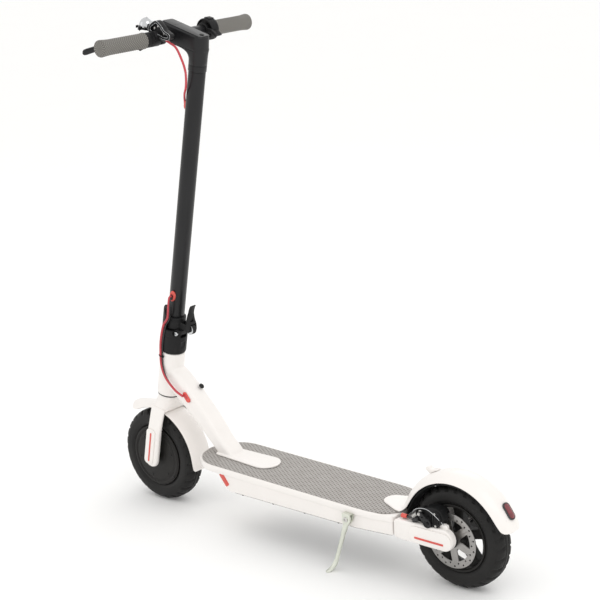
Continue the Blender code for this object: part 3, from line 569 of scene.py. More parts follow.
cover = rounded([(0.0062, 0.035), (0.0115, 0.035), (0.0118, 0.0283), (0.02, 0.0274), (0.03, 0.0281), (0.056, 0.0268),
                 (0.06, 0.0252), (0.0622, 0.025), (0.0634, 0.0266), (0.0668, 0.0268), (0.0684, 0.0256),
                 (0.0709, 0.0248), (0.0709, 0.022)], 0.001, 3)
hub = turned(cover + [(r, -h) for r, h in cover[::-1]], (0, 0, 0), Y, 128, ring=True)
screws = []
for side in (-1, 1):
    for k in range(6):
        place = upright(radians(12 + 60 * k)) * 0.0515 + Y * side * 0.0272
        screws.append(screw_head(place, side * Y, 0.0021, 0.0009))
    screws.append(rod(0.0024, 0, 0.0022, upright(radians(-38)) * 0.0668 + Y * side * 0.0262, side * Y, 16))
piece("front_hub_cover", about_axle(FRONT_AXLE, hub), "hub", "front_wheel", replaces=("front_hub_motor",))
piece("front_hub_screws", about_axle(FRONT_AXLE, join(*screws)), "black", "front_wheel")

# Rear rim: a ring and five broad spokes that widen into it
ring_line = rounded([(0.0618, 0.012), (0.0634, 0.016), (0.0646, 0.0215), (0.0668, 0.0236), (0.0709, 0.0238),
                     (0.0709, 0.0)],
                    0.0016, 3)
rim_ring = turned(ring_line + [(r, -h) for r, h in ring_line[-2::-1]], (0, 0, 0), Y, 128, ring=True)
rim_parts = [rim_ring, tube(AXLE_HOLE, 0.02, -0.033, 0.033, axis=Y, steps=64, round_off=0.001)]
for k in range(5):
    t = radians(90 + 72 * k)
    along, side = upright(t), upright(t + pi / 2)
    rows = []
    for r, half, deep in dense([(0.015, 0.013, 0.015), (0.026, 0.0105, 0.013), (0.038, 0.01, 0.0118),
                                (0.05, 0.0106, 0.0115), (0.0575, 0.0125, 0.012), (0.0636, 0.0185, 0.0125)], 16):
        rows.append([along * r + side * u + Y * v for u, v in round_rect(-half, half, -deep, deep, 0.0035, 4)])
    rim_parts.append(loft(rows))
rim_mesh = blended(join(*rim_parts), 0.001, 6)
rim_mesh = minus(rim_mesh, rod(AXLE_HOLE, -0.05, 0.05, axis=Y, steps=40))
piece("rear_rim_detail", about_axle(REAR_AXLE, rim_mesh), "hub", "rear_wheel", smooth=60)

# Brake disc: a wavy ring of two rows of holes on five tapered arms
disc = tube(0.0095, 0.0578, -0.001, 0.001, axis=Y, steps=150, round_off=0.0002)
holes = []
for k in range(30):
    holes.append(rod(0.002, -0.004, 0.004, upright(radians(12 * k)) * (0.0532 if k % 2 else 0.0478), Y, 16))
for k in range(6):
    t = radians(10 + 60 * k)
    outline = [(0.0435 * cos(radians(a)), 0.0435 * sin(radians(a))) for a in range(-19, 20, 4)]
    outline += [(0.04, 0.0148), (0.03, 0.0085), (0.0215, 0.004), (0.0195, 0.0), (0.0215, -0.003), (0.03, -0.007),
                (0.04, -0.014)]
    flat = [(u * cos(t) - v * sin(t), u * sin(t) + v * cos(t)) for u, v in outline]
    holes.append(prism(flat, -0.004, 0.004, "Y"))
disc = minus(disc, join(*holes))
bmesh.ops.translate(disc, vec=REAR_AXLE - Y * 0.0346, verts=disc.verts)
piece("brake_disc_detail", disc, "disc", "rear_wheel")
carrier = [tube(0.0064, 0.015, -0.0385, -0.0357, REAR_AXLE, Y, 48),
           tube(0.0064, 0.0165, 0.0332, 0.035, REAR_AXLE, Y, 48)]
carrier += [screw_head(REAR_AXLE + upright(radians(60 * k)) * 0.0118 - Y * 0.0384, -Y, 0.0016, 0.001)
            for k in range(6)]
piece("disc_carrier", join(*carrier), "black", "rear_wheel")
valve_way = upright(radians(54))
valve = rod(0.0024, 0, 0.018, valve_way * 0.039 + REAR_AXLE, valve_way, 20)
piece("rear_valve", valve, "moulded", "rear_wheel")


# Neck: head tube, down tube and foot plate under one coat of paint
def tube_ring(x, z, depth, half, nx, nz, corner, n=6):
    across = Vector((nx, 0, nz)).normalized()
    return [Vector((x, v, z)) + across * u for u, v in round_rect(-depth, depth, -half, half, corner, n)]


DOWN = [(-0.386, 0.32, 0.022, 0.0195, 0.78, 0.63, 0.014), (-0.367, 0.303, 0.0268, 0.0228, 0.74, 0.67, 0.014),
        (-0.345, 0.284, 0.025, 0.0238, 0.74, 0.67, 0.013), (-0.32, 0.262, 0.0225, 0.0242, 0.76, 0.65, 0.011),
        (-0.2725, 0.216, 0.0194, 0.024, 0.75, 0.66, 0.0095), (-0.237, 0.1755, 0.016, 0.0232, 0.8, 0.6, 0.0085),
        (-0.219, 0.158, 0.0186, 0.0232, 0.97, 0.24, 0.0085), (-0.215, 0.1505, 0.0205, 0.0238, 1, -0.018, 0.0085)]
head_axis = Vector((sin(RAKE), 0, cos(RAKE)))
head_foot = FRONT_AXLE + head_axis * 0.158
head_tube = turned(rounded([(0, 0.1058), (0.0268, 0.1058), (0.0277, 0.104), (0.0279, 0.06), (0.0281, 0.002),
                            (0.0271, 0.0002),
                            (0, 0.0002)], 0.0008), head_foot, head_axis, 96)
foot_plate = [(-0.2415, -0.0205), (-0.2375, -0.0262), (-0.19, -0.0285)] + arc(-0.112, 0, 0.0326, -90, 90, 28) \
    + [(-0.19, 0.0285), (-0.2375, 0.0262), (-0.2415, 0.0205)]
foot_plate = soften(sloped(prism(foot_plate, 0.1459, 0.15, "Z")), 0.0012)
plug = rod(0.0203, -0.01, 0.12, head_foot, head_axis, 64)
neck = blended(join(loft([tube_ring(*row) for row in dense(DOWN, 40)]), head_tube, foot_plate), SKIN_VOXEL, 12)
neck = minus(neck, plug, rod(0.08, 0.106, 0.16, head_foot, head_axis, 48),
             rod(0.08, -0.08, 0.0, head_foot, head_axis, 48))
piece("neck_detail", neck, "white", "frame", smooth=55)
rings = [tube(0.017, 0.0264, 0.0022, 0.005, head_foot - head_axis * 0.0045, head_axis, 96),
         tube(0.017, 0.023, -0.004, 0.003, head_foot + head_axis * 0.1045, head_axis, 64)]
piece("headset_seal", join(*rings), "moulded", "frame", smooth=50)


# Deck
def deck_outline(inset):
    half = 0.0775 - inset
    nose = [(-0.205 + (0.077 - inset) * cos(t), half * sin(t)) for t in [pi / 2 + pi * k / 28 for k in range(29)]]
    tail = [(0.19, half), (0.222, half - 0.0012), (0.25, half - 0.0052), (0.27, half - 0.009), (0.285, half - 0.0115)]
    return nose + [(u, -v) for u, v in tail] + tail[::-1]


shell = sloped(prism(deck_outline(0), 0.1305, 0.1452, "Z"))
shell = soften(shell, 0.0036, 5, 40)
tray_side = rounded([(-0.188, 0.14), (-0.1865, 0.133), (-0.1725, 0.1085), (-0.156, 0.0985), (-0.154, 0.0985)], 0.012, 5)
tray_half, taper_x = 0.0755, 0.195
tray = loft([[Vector((x, y, z)) for x, z in tray_side + [(0.2835, 0.0985), (0.2835, 0.14)]]
             for y in (-tray_half, tray_half)])
for vert in tray.verts:
    if vert.co.x > 0.2:
        vert.co.y *= 0.86
bmesh.ops.bisect_plane(tray, geom=tray.verts[:] + tray.edges[:] + tray.faces[:], plane_co=(taper_x, 0, 0),
                       plane_no=(1, 0, 0))
for vert in tray.verts:
    if abs(vert.co.x - taper_x) < 1e-5:
        vert.co.y = tray_half * (1 if vert.co.y > 0 else -1)
tray = soften(outward(tray), 0.004, 4, 40)
hollow = box((-0.15, -0.0585, 0.08), (0.205, 0.0585, 0.1295))
recess = sloped(prism(deck_outline(0.0042), 0.1431, 0.2, "Z"))
shell = minus(union(shell, tray), hollow, recess)
piece("deck_shell_detail", shell, "white", "frame", smooth=40)


def mat_outline():
    nose = [(-0.204 + 0.0718 * cos(t), 0.073 * sin(t)) for t in [pi / 2 + pi * k / 40 for k in range(41)]]
    tail = [(0.205, 0.073), (0.225, 0.0712), (0.24, 0.0675), (0.253, 0.0625), (0.262, 0.0575), (0.27, 0.0505),
            (0.276, 0.043), (0.2795, 0.036), (0.281, 0.029)]
    return nose + [(u, -v) for u, v in tail] + tail[::-1]


mat = sloped(prism(mat_outline(), 0.1434, 0.1455, "Z", 0.0006, 2))
piece("deck_mat_detail", mat, "mat", "frame", smooth=50)

reflectors = []
for side in (-1, 1):
    strip = round_rect(-0.0158, 0.0158, -0.0055, 0.0055, 0.0022, 4)
    tilt = radians(-52)
    flat = [(-0.168 + u * cos(tilt) - v * sin(tilt), 0.124 + u * sin(tilt) + v * cos(tilt)) for u, v in strip]
    low, high = sorted((side * 0.075, side * 0.0768))
    reflectors.append(prism(flat, low, high, "Y", 0.0005))
piece("deck_reflectors", join(*reflectors), "red", "frame")
screws = [screw_head((x, y, 0.0986), -Z, 0.0024, 0.0013) for x in (-0.118, -0.03, 0.058,
                                                                   0.15) for y in (-0.0725, 0.0725)]
piece("deck_screws", join(*screws), "black", "frame", slot="steel")

# Rear fork arms with their covers
side_line = [(0.2853, 0.0985), (0.2925, 0.0962), (0.31, 0.095), (0.39, 0.0945)] \
    + arc(0.406, 0.1175, 0.0232, -102, 82, 28) + [(0.396, 0.14), (0.375, 0.1386), (0.33, 0.1384), (0.296, 0.1375),
                                                 (0.2853, 0.133)]
arms = [prism(side_line, side * 0.055 - 0.009, side * 0.055 + 0.009, "Y", 0.0042, 5) for side in (-1, 1)]
arms.append(box((0.2856, -0.05, 0.1005), (0.2935, 0.05, 0.129)))
fork_arms = union(*arms)
fork_arms = minus(fork_arms, rod(AXLE_HOLE, -0.08, 0.08, REAR_AXLE, Y, 40))
piece("rear_fork_detail", fork_arms, "white", "frame", smooth=45)
both_sides("arm_cap_%s_detail", round_rect(0.3255, 0.4288, 0.0985, 0.1338, 0.0168, 12), 0.0641, 0.067, "white", "frame",
           0.002, 4, smooth=50)
both_sides("rear_strip_%s_detail", round_rect(0.34, 0.411, 0.108, 0.1124, 0.0018, 6), 0.0668, 0.068, "red", "frame",
           0.0006, 3)
guide = prism([(0.393, 0.14), (0.414, 0.139), (0.413, 0.1468), (0.407, 0.149), (0.395, 0.148)], -0.056, -0.0475,
              "Y", 0.0018, 3)
piece("cable_guide_tab", guide, "white", "frame")


# Fenders
def arched(angle, half, crest, edge, power):
    """A closed section across a fender, as points about its axle."""
    way, steps = upright(radians(angle)), [i / 10 for i in range(-10, 11)]

    def height(v):
        return edge + (crest - edge) * (1 - abs(v) ** power)

    outer = [way * height(v) + Y * (v * half) for v in steps]
    inner = [way * (height(v) - SKIN * (1 - 0.45 * abs(v) ** 3)) + Y * (v * (half - SKIN)) for v in steps[::-1]]
    return outer + inner


REAR = [(165.2, 0.0405, 0.135, 0.13), (162, 0.0372, 0.1351, 0.124), (157, 0.0352, 0.1352, 0.1195),
        (150, 0.035, 0.1352, 0.118),
        (130, 0.035, 0.1352, 0.118), (110, 0.035, 0.1352, 0.118), (90, 0.035, 0.1352, 0.118),
        (70, 0.035, 0.1352, 0.118),
        (55, 0.035, 0.1352, 0.118), (42, 0.035, 0.1352, 0.1182), (32, 0.0346, 0.1353, 0.1188),
        (25, 0.033, 0.1353, 0.12),
        (20, 0.0295, 0.1352, 0.1215), (17.4, 0.024, 0.135, 0.126), (16.6, 0.015, 0.1346, 0.131)]
fender = loft([[REAR_AXLE + p for p in arched(*row, 2.6)] for row in dense(REAR, 110)])
foot = arc(0.244, 0, 0.0245, 108, 252, 20) + [(0.256, -0.032), (0.27, -0.0385), (0.2825, -0.04), (0.2825, 0.04),
                                            (0.27, 0.0385), (0.256, 0.032)]
foot = soften(sloped(prism(foot, 0.1459, 0.1496, "Z")), 0.0013)
rear_fender = blended(join(fender, foot), SKIN_VOXEL, 8)
piece("rear_fender_detail", rear_fender, "white", "frame", smooth=60)

FRONT = [(135.2, 0.0225, 0.1365, 0.1255), (134.4, 0.027, 0.1368, 0.1222), (131.5, 0.0296, 0.134, 0.1182),
         (127, 0.0305, 0.13, 0.1156),
         (119, 0.0308, 0.1252, 0.1156), (110, 0.0308, 0.123, 0.117), (100, 0.0308, 0.122, 0.1184),
         (80, 0.0306, 0.1217, 0.1185), (60, 0.0302, 0.1216, 0.1187),
         (40, 0.0298, 0.1216, 0.1189), (28, 0.0296, 0.1216, 0.119), (15, 0.029, 0.1216, 0.1192),
         (8, 0.0268, 0.1214, 0.1197),
         (5, 0.0215, 0.1211, 0.1202)]
front_fender = loft([arched(*row, 3.0) for row in dense(FRONT, 110)])
piece("front_fender_detail", front_fender, "white", "fork", smooth=60)


# Fork: a turned crown flowing into two blades
def slab(s, a0, a1, y0, y1, r):
    return [Vector((u, v, s)) for u, v in round_rect(a0, a1, y0, y1, r, 7)]


CROWN = [(0.1218, -0.017, 0.0215, -0.0388, 0.0388, 0.0075), (0.1262, -0.0188, 0.0223, -0.0368, 0.0368, 0.0105),
         (0.132, -0.0213, 0.0233, -0.0325, 0.0325, 0.015), (0.1385, -0.0236, 0.0245, -0.0283, 0.0283, 0.02),
         (0.144, -0.025, 0.0252, -0.026, 0.026, 0.0245), (0.15, -0.0254, 0.0254, -0.0254, 0.0254, 0.0253),
         (0.156, -0.0254, 0.0254, -0.0254, 0.0254, 0.0253)]
BLADE = [(0.129, -0.0165, 0.0228, 0.032, 0.0378, 0.0028), (0.1215, -0.0165, 0.0228, 0.0326, 0.0396, 0.0033),
         (0.112, -0.0156, 0.0231, 0.034, 0.0422, 0.0039), (0.1, -0.0146, 0.0234, 0.0353, 0.0447, 0.0045),
         (0.086, -0.0136, 0.0236, 0.0361, 0.0476, 0.0054), (0.076, -0.0131, 0.0236, 0.0362, 0.0496, 0.006),
         (0.06, -0.013, 0.0235, 0.0362, 0.05, 0.0062), (0.04, -0.013, 0.0235, 0.0362, 0.05, 0.0062),
         (0.02, -0.013, 0.0235, 0.0362, 0.05, 0.0062), (0.0, -0.0128, 0.0233, 0.0362, 0.05, 0.0062),
         (-0.008, -0.0114, 0.0219, 0.0365, 0.0499, 0.0062), (-0.013, -0.0085, 0.019, 0.0368, 0.0497, 0.0062),
         (-0.016, -0.004, 0.0145, 0.0375, 0.049, 0.005), (-0.017, 0.0, 0.0105, 0.0385, 0.048, 0.0034)]
blade = loft([slab(*row) for row in dense(BLADE, 52)])
fork_skin = blended(join(loft([slab(*row) for row in dense(CROWN, 26)]), blade, mirrored(blade)), SKIN_VOXEL, 10)
fork_skin = minus(fork_skin, rod(AXLE_HOLE, -0.06, 0.06, axis=Y, steps=40), rod(0.08, 0.1556, 0.2),
                  rod(0.0168, 0.148, 0.3, steps=48))
piece("fork_detail", fork_skin, "white", "fork", smooth=60)
piece("steerer", tube(0.014, 0.0164, 0.15, 0.284, steps=64), "alloy", "fork")
both_sides("fork_cap_%s_detail", round_rect(-0.0122, 0.0137, -0.0118, 0.0775, 0.01, 10), 0.0494, 0.0529, "white",
           "fork",
           0.0019, 4, smooth=50)
both_sides("fork_strip_%s_detail", round_rect(0.0007, 0.0047, -0.004, 0.069, 0.0019, 6), 0.0527, 0.054, "red", "fork",
           0.0006, 3)

# Folding joint
HINGE = (0.021, 0, 0.3165)
base = turned(rounded([(0, 0.3218), (0.0274, 0.3218), (0.029, 0.32), (0.029, 0.307), (0.0285, 0.3062), (0.0285, 0.3052),
                       (0.029, 0.3044), (0.029, 0.268), (0.0279, 0.2648), (0.017, 0.2648), (0.017, 0.2856),
                       (0, 0.2856)],
                      0.001, 3), steps=112)
lip_out, lip_in = 0.0288, 0.0258
rows = []
for s, t0, t1, swell in [(0.315, 168, 262, 0), (0.34, 168, 262, 0), (0.356, 172, 258, 0), (0.362, 178, 250, 0),
                         (0.3655, 186, 241, 0), (0.367, 196, 232, 0.0003)]:
    rows.append([Vector((u, v, s)) for u,
                 v in arc(0, 0, lip_out - swell, t0, t1, 14) + arc(0, 0, lip_in + swell, t1, t0, 14)])
base = union(base, loft(rows))
eye = rod(0.0092, -0.0172, 0.0172, HINGE, Y, 48, 0.0012)
base = union(base, combined(eye, rod(0.0292, 0.3, 0.33, steps=96), "INTERSECT"))
base = minus(base, box((0.0092, -0.0092, 0.3052), (0.04, 0.0092, 0.34)), rod(0.0033, -0.03, 0.03, HINGE, Y, 32),
             rod(0.0058, -0.04, -0.0152, HINGE, Y, 40), rod(0.0058, 0.0152, 0.04, HINGE, Y, 40),
             box((-0.0215, -0.031, 0.274), (-0.018, -0.0175, 0.318)),
             rod(0.0122, -0.0069, 0.0069, (0.0385, 0, 0.289), Y, 64))
piece("fold_base_detail", base, "moulded", "fork", smooth=40, bevel=0.0004)
bolt = join(rod(0.0029, -0.0152, 0.017, HINGE, Y, 32), screw_head((0.021, -0.0154, 0.3165), -Y, 0.0051, 0.0054),
            screw_head((0.021, 0.0154, 0.3165), Y, 0.0051, 0.003))
piece("hinge_bolt_detail", bolt, "chrome", "fork")
collar = turned(rounded([(0.015, 0.351), (0.0208, 0.351), (0.0225, 0.3496), (0.0225, 0.3462), (0.0219, 0.3456),
                         (0.0219, 0.3446), (0.0225, 0.344), (0.0225, 0.3246), (0.0216, 0.3236), (0.015, 0.3236)],
                         0.0006, 2),
                steps=96, ring=True)
tongue = prism([(0.014, 0.33)] + arc(0.021, 0.3165, 0.0072, 200, 352, 16) + [(0.028, 0.3215), (0.0215, 0.33)],
               -0.0088, 0.0088, "Y")
LATCH = (0.0485, 0, 0.334)
ear = [(0.015, 0.327), (0.0485, 0.328)] + arc(LATCH[0], LATCH[2], 0.006, -85, 85, 12) + [(0.03, 0.3412), (0.015, 0.344)]
collar = union(collar, tongue, prism(ear, 0.0059, 0.0085, "Y", 0.0005, 1), prism(ear, -0.0085, -0.0059, "Y", 0.0005, 1))
collar = minus(collar, rod(0.0033, -0.02, 0.02, HINGE, Y, 32), rod(0.0028, -0.02, 0.02, LATCH, Y, 24))
piece("stem_joint_detail", collar, "moulded", "stem", smooth=40, bevel=0.0003)
inside = [(0.0423, 0.335), (0.0412, 0.345), (0.041, 0.36), (0.042, 0.376), (0.0442, 0.386), (0.047, 0.3915)]
outside = [(0.049, 0.39), (0.0468, 0.382), (0.0455, 0.372), (0.046, 0.364), (0.0475, 0.356), (0.0525, 0.345),
           (0.0546, 0.335)]
line = [(p.x, p.y) for edge in (inside, outside) for p in curve_points(edge, 0.002)] \
    + arc(LATCH[0], LATCH[2], 0.0062, 0, -180, 14)[1:-1]
lever = prism(line, -0.0119, 0.0119, "Y", 0.0007, 2)
for vert in lever.verts:
    vert.co.y *= 1 - 0.36 * max(0.0, min(1.0, (vert.co.z - 0.346) / 0.028)) ** 1.4
lever = minus(lever, box((0.03, -0.0088, 0.32), (0.07, 0.0088, 0.3466)),
              box((0.0462, -0.0048, 0.352), (0.07, 0.0048, 0.379)))
lever = union(lever, rod(0.0025, -0.01, 0.01, LATCH, Y, 24))
piece("latch_lever_detail", lever, "moulded", "latch_lever", smooth=40)
knob = tube(0.0028, 0.0116, -0.0058, 0.0058, LATCH, Y, 80, 0.0012)
for vert in knob.verts:
    p = vert.co - Vector(LATCH)
    r = hypot(p.x, p.z)
    if r > 0.011:
        k = (r - 0.0005 * (0.5 + 0.5 * cos(20 * atan2(p.z, p.x)))) / r
        vert.co.x, vert.co.z = LATCH[0] + p.x * k, LATCH[2] + p.z * k
piece("latch_knob_detail", knob, "moulded", "latch_knob", smooth=40)
piece("latch_knob_ring", tube(0.006, 0.0112, -0.0064, -0.0056, LATCH, Y, 80, 0.0002), "chrome", "latch_knob")

# Stem tube and its cable grommets
stem = tube(0.0155, 0.0184, 0.3512, 0.9125, steps=96, round_off=0.0006)
piece("stem_tube_detail", stem, "black", "stem")


def grommet(name, seat, way, tall, wide):
    """An oval rubber plug with a raised rim and a dished middle."""
    seat, way = Vector(seat), Vector(way)
    side = Z.cross(way).normalized()
    rows = [[seat + way * depth + side * (wide * k * cos(t)) + Z * (tall * k * sin(t)) for t in turn_steps(40)]
            for depth, k in ((0.015, 1.0), (0.0203, 1.0), (0.0215, 0.97), (0.0222, 0.88), (0.0222, 0.7), (0.0214, 0.6),
                             (0.0211, 0.3))]
    mesh = minus(loft(rows), rod(0.0191, seat.z - 0.03, seat.z + 0.03, steps=96))
    piece(name, mesh, "red", "stem", smooth=60)


grommet("stem_grommet_lower_detail", (0.0015, 0, 0.402), (0.05, -1, 0), 0.0125, 0.007)
grommet("stem_grommet_upper_detail", (0, -0.003, 0.833), (-1, 0, 0), 0.0105, 0.0062)


# Headstock with its dark panel and lamp
def top_drop(a):
    """How far the headstock's top has come down, at a, from its front edge."""
    return 0.064 * (a + 0.1025)


def block(s, front, back, half, r_front, r_back):
    """A section of the headstock at height s, with its own corner radii fore and aft."""
    points = []
    for k, (a, y, r) in enumerate([(back, half, r_back), (front, half, r_front), (front, -half, r_front),
                                   (back, -half, r_back)]):
        cu, cv = (a - r if k in (0, 3) else a + r), (y - r if k < 2 else y + r)
        for i in range(11):
            t = (k + i / 10) * pi / 2
            points.append(Vector((cu + r * cos(t), cv + r * sin(t), s)))
    return points


head_block = loft([block(*row) for row in [
    (0.9264, -0.019, 0.019, 0.019, 0.0189, 0.0189), (0.9272, -0.0196, 0.0196, 0.0196, 0.0195, 0.0195),
    (0.936, -0.0198, 0.0196, 0.0196, 0.0194, 0.0194), (0.94, -0.0207, 0.0196, 0.0196, 0.0192, 0.0194),
    (0.943, -0.022, 0.0196, 0.0196, 0.0188, 0.0193), (0.9465, -0.024, 0.0196, 0.0196, 0.018, 0.0191),
    (0.9495, -0.0267, 0.0196, 0.0196, 0.0165, 0.0188), (0.952, -0.0302, 0.0196, 0.0196, 0.0148, 0.0184),
    (0.954, -0.0346, 0.0196, 0.0196, 0.0128, 0.018), (0.9555, -0.04, 0.0196, 0.0196, 0.0105, 0.0176),
    (0.9564, -0.048, 0.0196, 0.0196, 0.008, 0.0172), (0.9569, -0.062, 0.0196, 0.0195, 0.0062, 0.0168),
    (0.9571, -0.08, 0.0196, 0.0192, 0.005, 0.0165), (0.9572, -0.099, 0.0196, 0.0188, 0.004, 0.0162),
    (0.958, -0.1014, 0.0196, 0.0193, 0.004, 0.016), (0.9596, -0.1025, 0.0196, 0.0195, 0.004, 0.0155),
    (0.965, -0.1027, 0.019, 0.0195, 0.004, 0.0168), (0.976, -0.1027, 0.0182, 0.0195, 0.004, 0.017),
    (0.99, -0.1027, 0.0174, 0.0195, 0.004, 0.017), (0.9932, -0.1025, 0.0171, 0.0193, 0.004, 0.0168),
    (0.9947, -0.1018, 0.0165, 0.0187, 0.0038, 0.0164), (0.9953, -0.1006, 0.0154, 0.0176, 0.0034, 0.0156)]])
for vert in head_block.verts:
    vert.co.z -= top_drop(vert.co.x) * max(0.0, min(1.0, (vert.co.z - 0.96) / 0.035))
head_block = minus(head_block, rod(BAR_HOLE, -0.05, 0.05, BAR, Y, 64))
piece("headstock_detail", head_block, "black", "stem", smooth=50)
piece("headstock_sleeve", tube(0.012, 0.0196, 0.9131, 0.9262, steps=96, round_off=0.0006), "black", "stem")
panel = prism(round_rect(-0.0978, 0.0138, -0.0156, 0.0156, 0.0055, 8), 0.9945, 0.9974, "Z", 0.0008, 3)
panel = minus(panel, rod(0.005, 0.98, 1.02, (0.004, 0, 0), steps=40),
              box((-0.066, -0.02, 0.9967), (-0.0652, 0.02, 1.0)))
for vert in panel.verts:
    vert.co.z -= top_drop(vert.co.x)
piece("display_panel_detail", panel, "panel", "stem", smooth=40)
piece("power_button_detail", rod(0.0045, 0.99, 0.9918, (0.004, 0, 0), steps=48, round_off=0.0005), "moulded",
      "power_button")
lamp_rim = tube(0.0125, 0.015, 0.0, 0.0045, (-0.1022, 0, 0.976), -X, 72, 0.0008)
lamp_glass = turned(rounded([(0, 0.0056), (0.006, 0.0053), (0.0105, 0.0042), (0.0124, 0.0028), (0.0124, 0.0004),
                             (0, 0.0004)],
                            0.001), (-0.1026, 0, 0.976), -X, 64)
piece("headlight_bezel", lamp_rim, "moulded", "stem")
piece("headlight_detail", lamp_glass, "lens", "stem", smooth=50)


# Grips with a diamond knurl between smooth ends
def grip_piece(name, way, start, length):
    steps, knurl_from, knurl_to = 108, 0.1, 0.72
    count = round(length / 0.0011)
    end = start + length

    def ring(r, h):
        return [Vector((r * cos(t), r * sin(t), h)) for t in turn_steps(steps)]

    rows = [ring(0.0112, start)]
    for i in range(count + 1):
        u, h = i / count, start + length * i / count
        knurled = knurl_from < u < knurl_to
        plain = 0.016 + 0.0015 * max(0, (u - 0.8) / 0.2) ** 1.3 + 0.0011 * max(0, 1 - u / 0.06)
        plain -= 0.0004 if knurled else 0
        row = []
        for t in turn_steps(steps):
            r = plain
            if knurled:
                r += 0.00055 * max(0.0, min(1.0, 0.75 + 0.9 * sin(t * KNURL_TEETH + h * KNURL_PITCH))) \
                    * max(0.0, min(1.0, 0.75 + 0.9 * sin(t * KNURL_TEETH - h * KNURL_PITCH)))
            row.append(Vector((r * cos(t), r * sin(t), h)))
        rows.append(row)
    rows += [ring(r, end + h) for r, h in ((0.017, 0.0022), (0.016, 0.003), (0.009, 0.0032), (0.0012, 0.003))]
    mesh = loft(rows)
    mesh.transform(Matrix.Translation(BAR) @ Z.rotation_difference(Vector(way)).to_matrix().to_4x4())
    piece(name, mesh, "grip", "stem", smooth=70)


grip_piece("left_grip_detail", -Y, 0.0963, 0.117)
grip_piece("right_grip_detail", Y, 0.1083, 0.105)
piece("bar_tube", tube(0.009, 0.01095, -0.088, 0.1078, BAR, Y, 64), "black", "stem", replaces=("handlebar",))


# Throttle: a wide band with an open inner face, and a sprung thumb lever
throttle = tube(BAR_HOLE, 0.0236, 0.0836, 0.1055, BAR, Y, 96, 0.0014)
throttle = minus(throttle, tube(0.0135, 0.0212, 0.0826, 0.089, BAR, Y, 72, 0.0003),
                 tube(0.0233, 0.025, 0.099, 0.0996, BAR, Y, 72, 0.0001))
throttle = union(throttle, prism(round_rect(BAR.x - 0.007, BAR.x + 0.007, 0.9925, 0.9968, 0.0015, 4), 0.088, 0.1035,
                                 "Y", 0.0005, 2))
piece("throttle_housing_detail", throttle, "moulded", "stem", smooth=40, bevel=0.0002)
piece("throttle_screw", screw_head(BAR + Vector((-0.01, 0.095, -0.02)), (-0.45, 0, -0.9), 0.0028, 0.0016), "steel",
      "stem")
ring = tube(BAR_HOLE, 0.015, 0.0765, 0.0836, BAR, Y, 72, 0.0007)
outline = [(BAR.x + u, s) for u, s in
           [(0.009, 0.978), (0.017, 0.9796), (0.026, 0.9784), (0.034, 0.975), (0.0398, 0.9704), (0.039, 0.9668),
            (0.033, 0.969), (0.025, 0.9704), (0.016, 0.9684), (0.009, 0.966)]]
tongue = prism(outline, 0.0768, 0.0832, "Y", 0.0008, 2)
pad_rows = []
for y, grow in [(0.08, 0.85), (0.081, 1.0), (0.09, 1.0), (0.0965, 0.97), (0.0982, 0.8)]:
    centre = Vector((BAR.x + 0.0325, y, 0.9718))
    pad_rows.append([centre + Vector((u * cos(-0.44) - v * sin(-0.44), 0, u * sin(-0.44) + v * cos(-0.44))) * grow
                     for u, v in round_rect(-0.0082, 0.0082, -0.0018, 0.0018, 0.0016, 4)])
paddle = union(ring, tongue, loft(pad_rows))
for k in range(4):
    notch = box((-0.0006, 0.0825, -0.001), (0.0006, 0.0965, 0.001))
    notch.transform(Matrix.Translation((BAR.x + 0.028 + 0.0028 * k, 0, 0.9758 - 0.0013 * k)))
    paddle = minus(paddle, notch)
piece("throttle_paddle_detail", paddle, "moulded", "throttle", smooth=45)

# Brake lever's clamp, with an open frame above the bar
PIVOT = Vector((-0.1, -0.065, 0.965))
clamp = tube(BAR_HOLE, 0.0157, -0.095, -0.057, BAR, Y, 80, 0.001)
clamp = minus(clamp, tube(0.015, 0.017, -0.0842, -0.083, BAR, Y, 80, 0.0001),
              tube(0.0152, 0.017, -0.0752, -0.0744, BAR, Y, 80, 0.0001))
jaw = prism(round_rect(-0.108, -0.0765, 0.9572, 0.9732, 0.0035, 5), -0.0743, -0.0591, "Y", 0.0009, 2)
loop_out = [(-0.085, 0.983), (-0.07, 0.981), (-0.056, 0.9795), (-0.0422, 0.9774), (-0.029, 0.979), (-0.0236, 0.985),
            (-0.0262, 0.9914), (-0.0406, 0.9954), (-0.052, 1.0043), (-0.0664, 1.0102), (-0.0782, 1.003),
            (-0.0856, 0.993)]
loop_in = [(-0.0798, 0.9874), (-0.07, 0.9856), (-0.056, 0.9838), (-0.043, 0.9818), (-0.032, 0.9828), (-0.0284, 0.9856),
           (-0.0306, 0.9884), (-0.043, 0.992), (-0.0545, 1.0008), (-0.066, 1.0054), (-0.0746, 0.9994), (-0.08, 0.9926)]


def smooth_loop(points, step=0.0012):
    ring_points = points[-1:] + points + points[:2]
    path = curve_points(ring_points, step)
    head = min(range(len(path)), key=lambda i: (path[i] - Vector(points[0])).length)
    tail = min(range(len(path) // 2, len(path)), key=lambda i: (path[i] - Vector(points[0])).length)
    return [(p.x, p.y) for p in path[head:tail]]


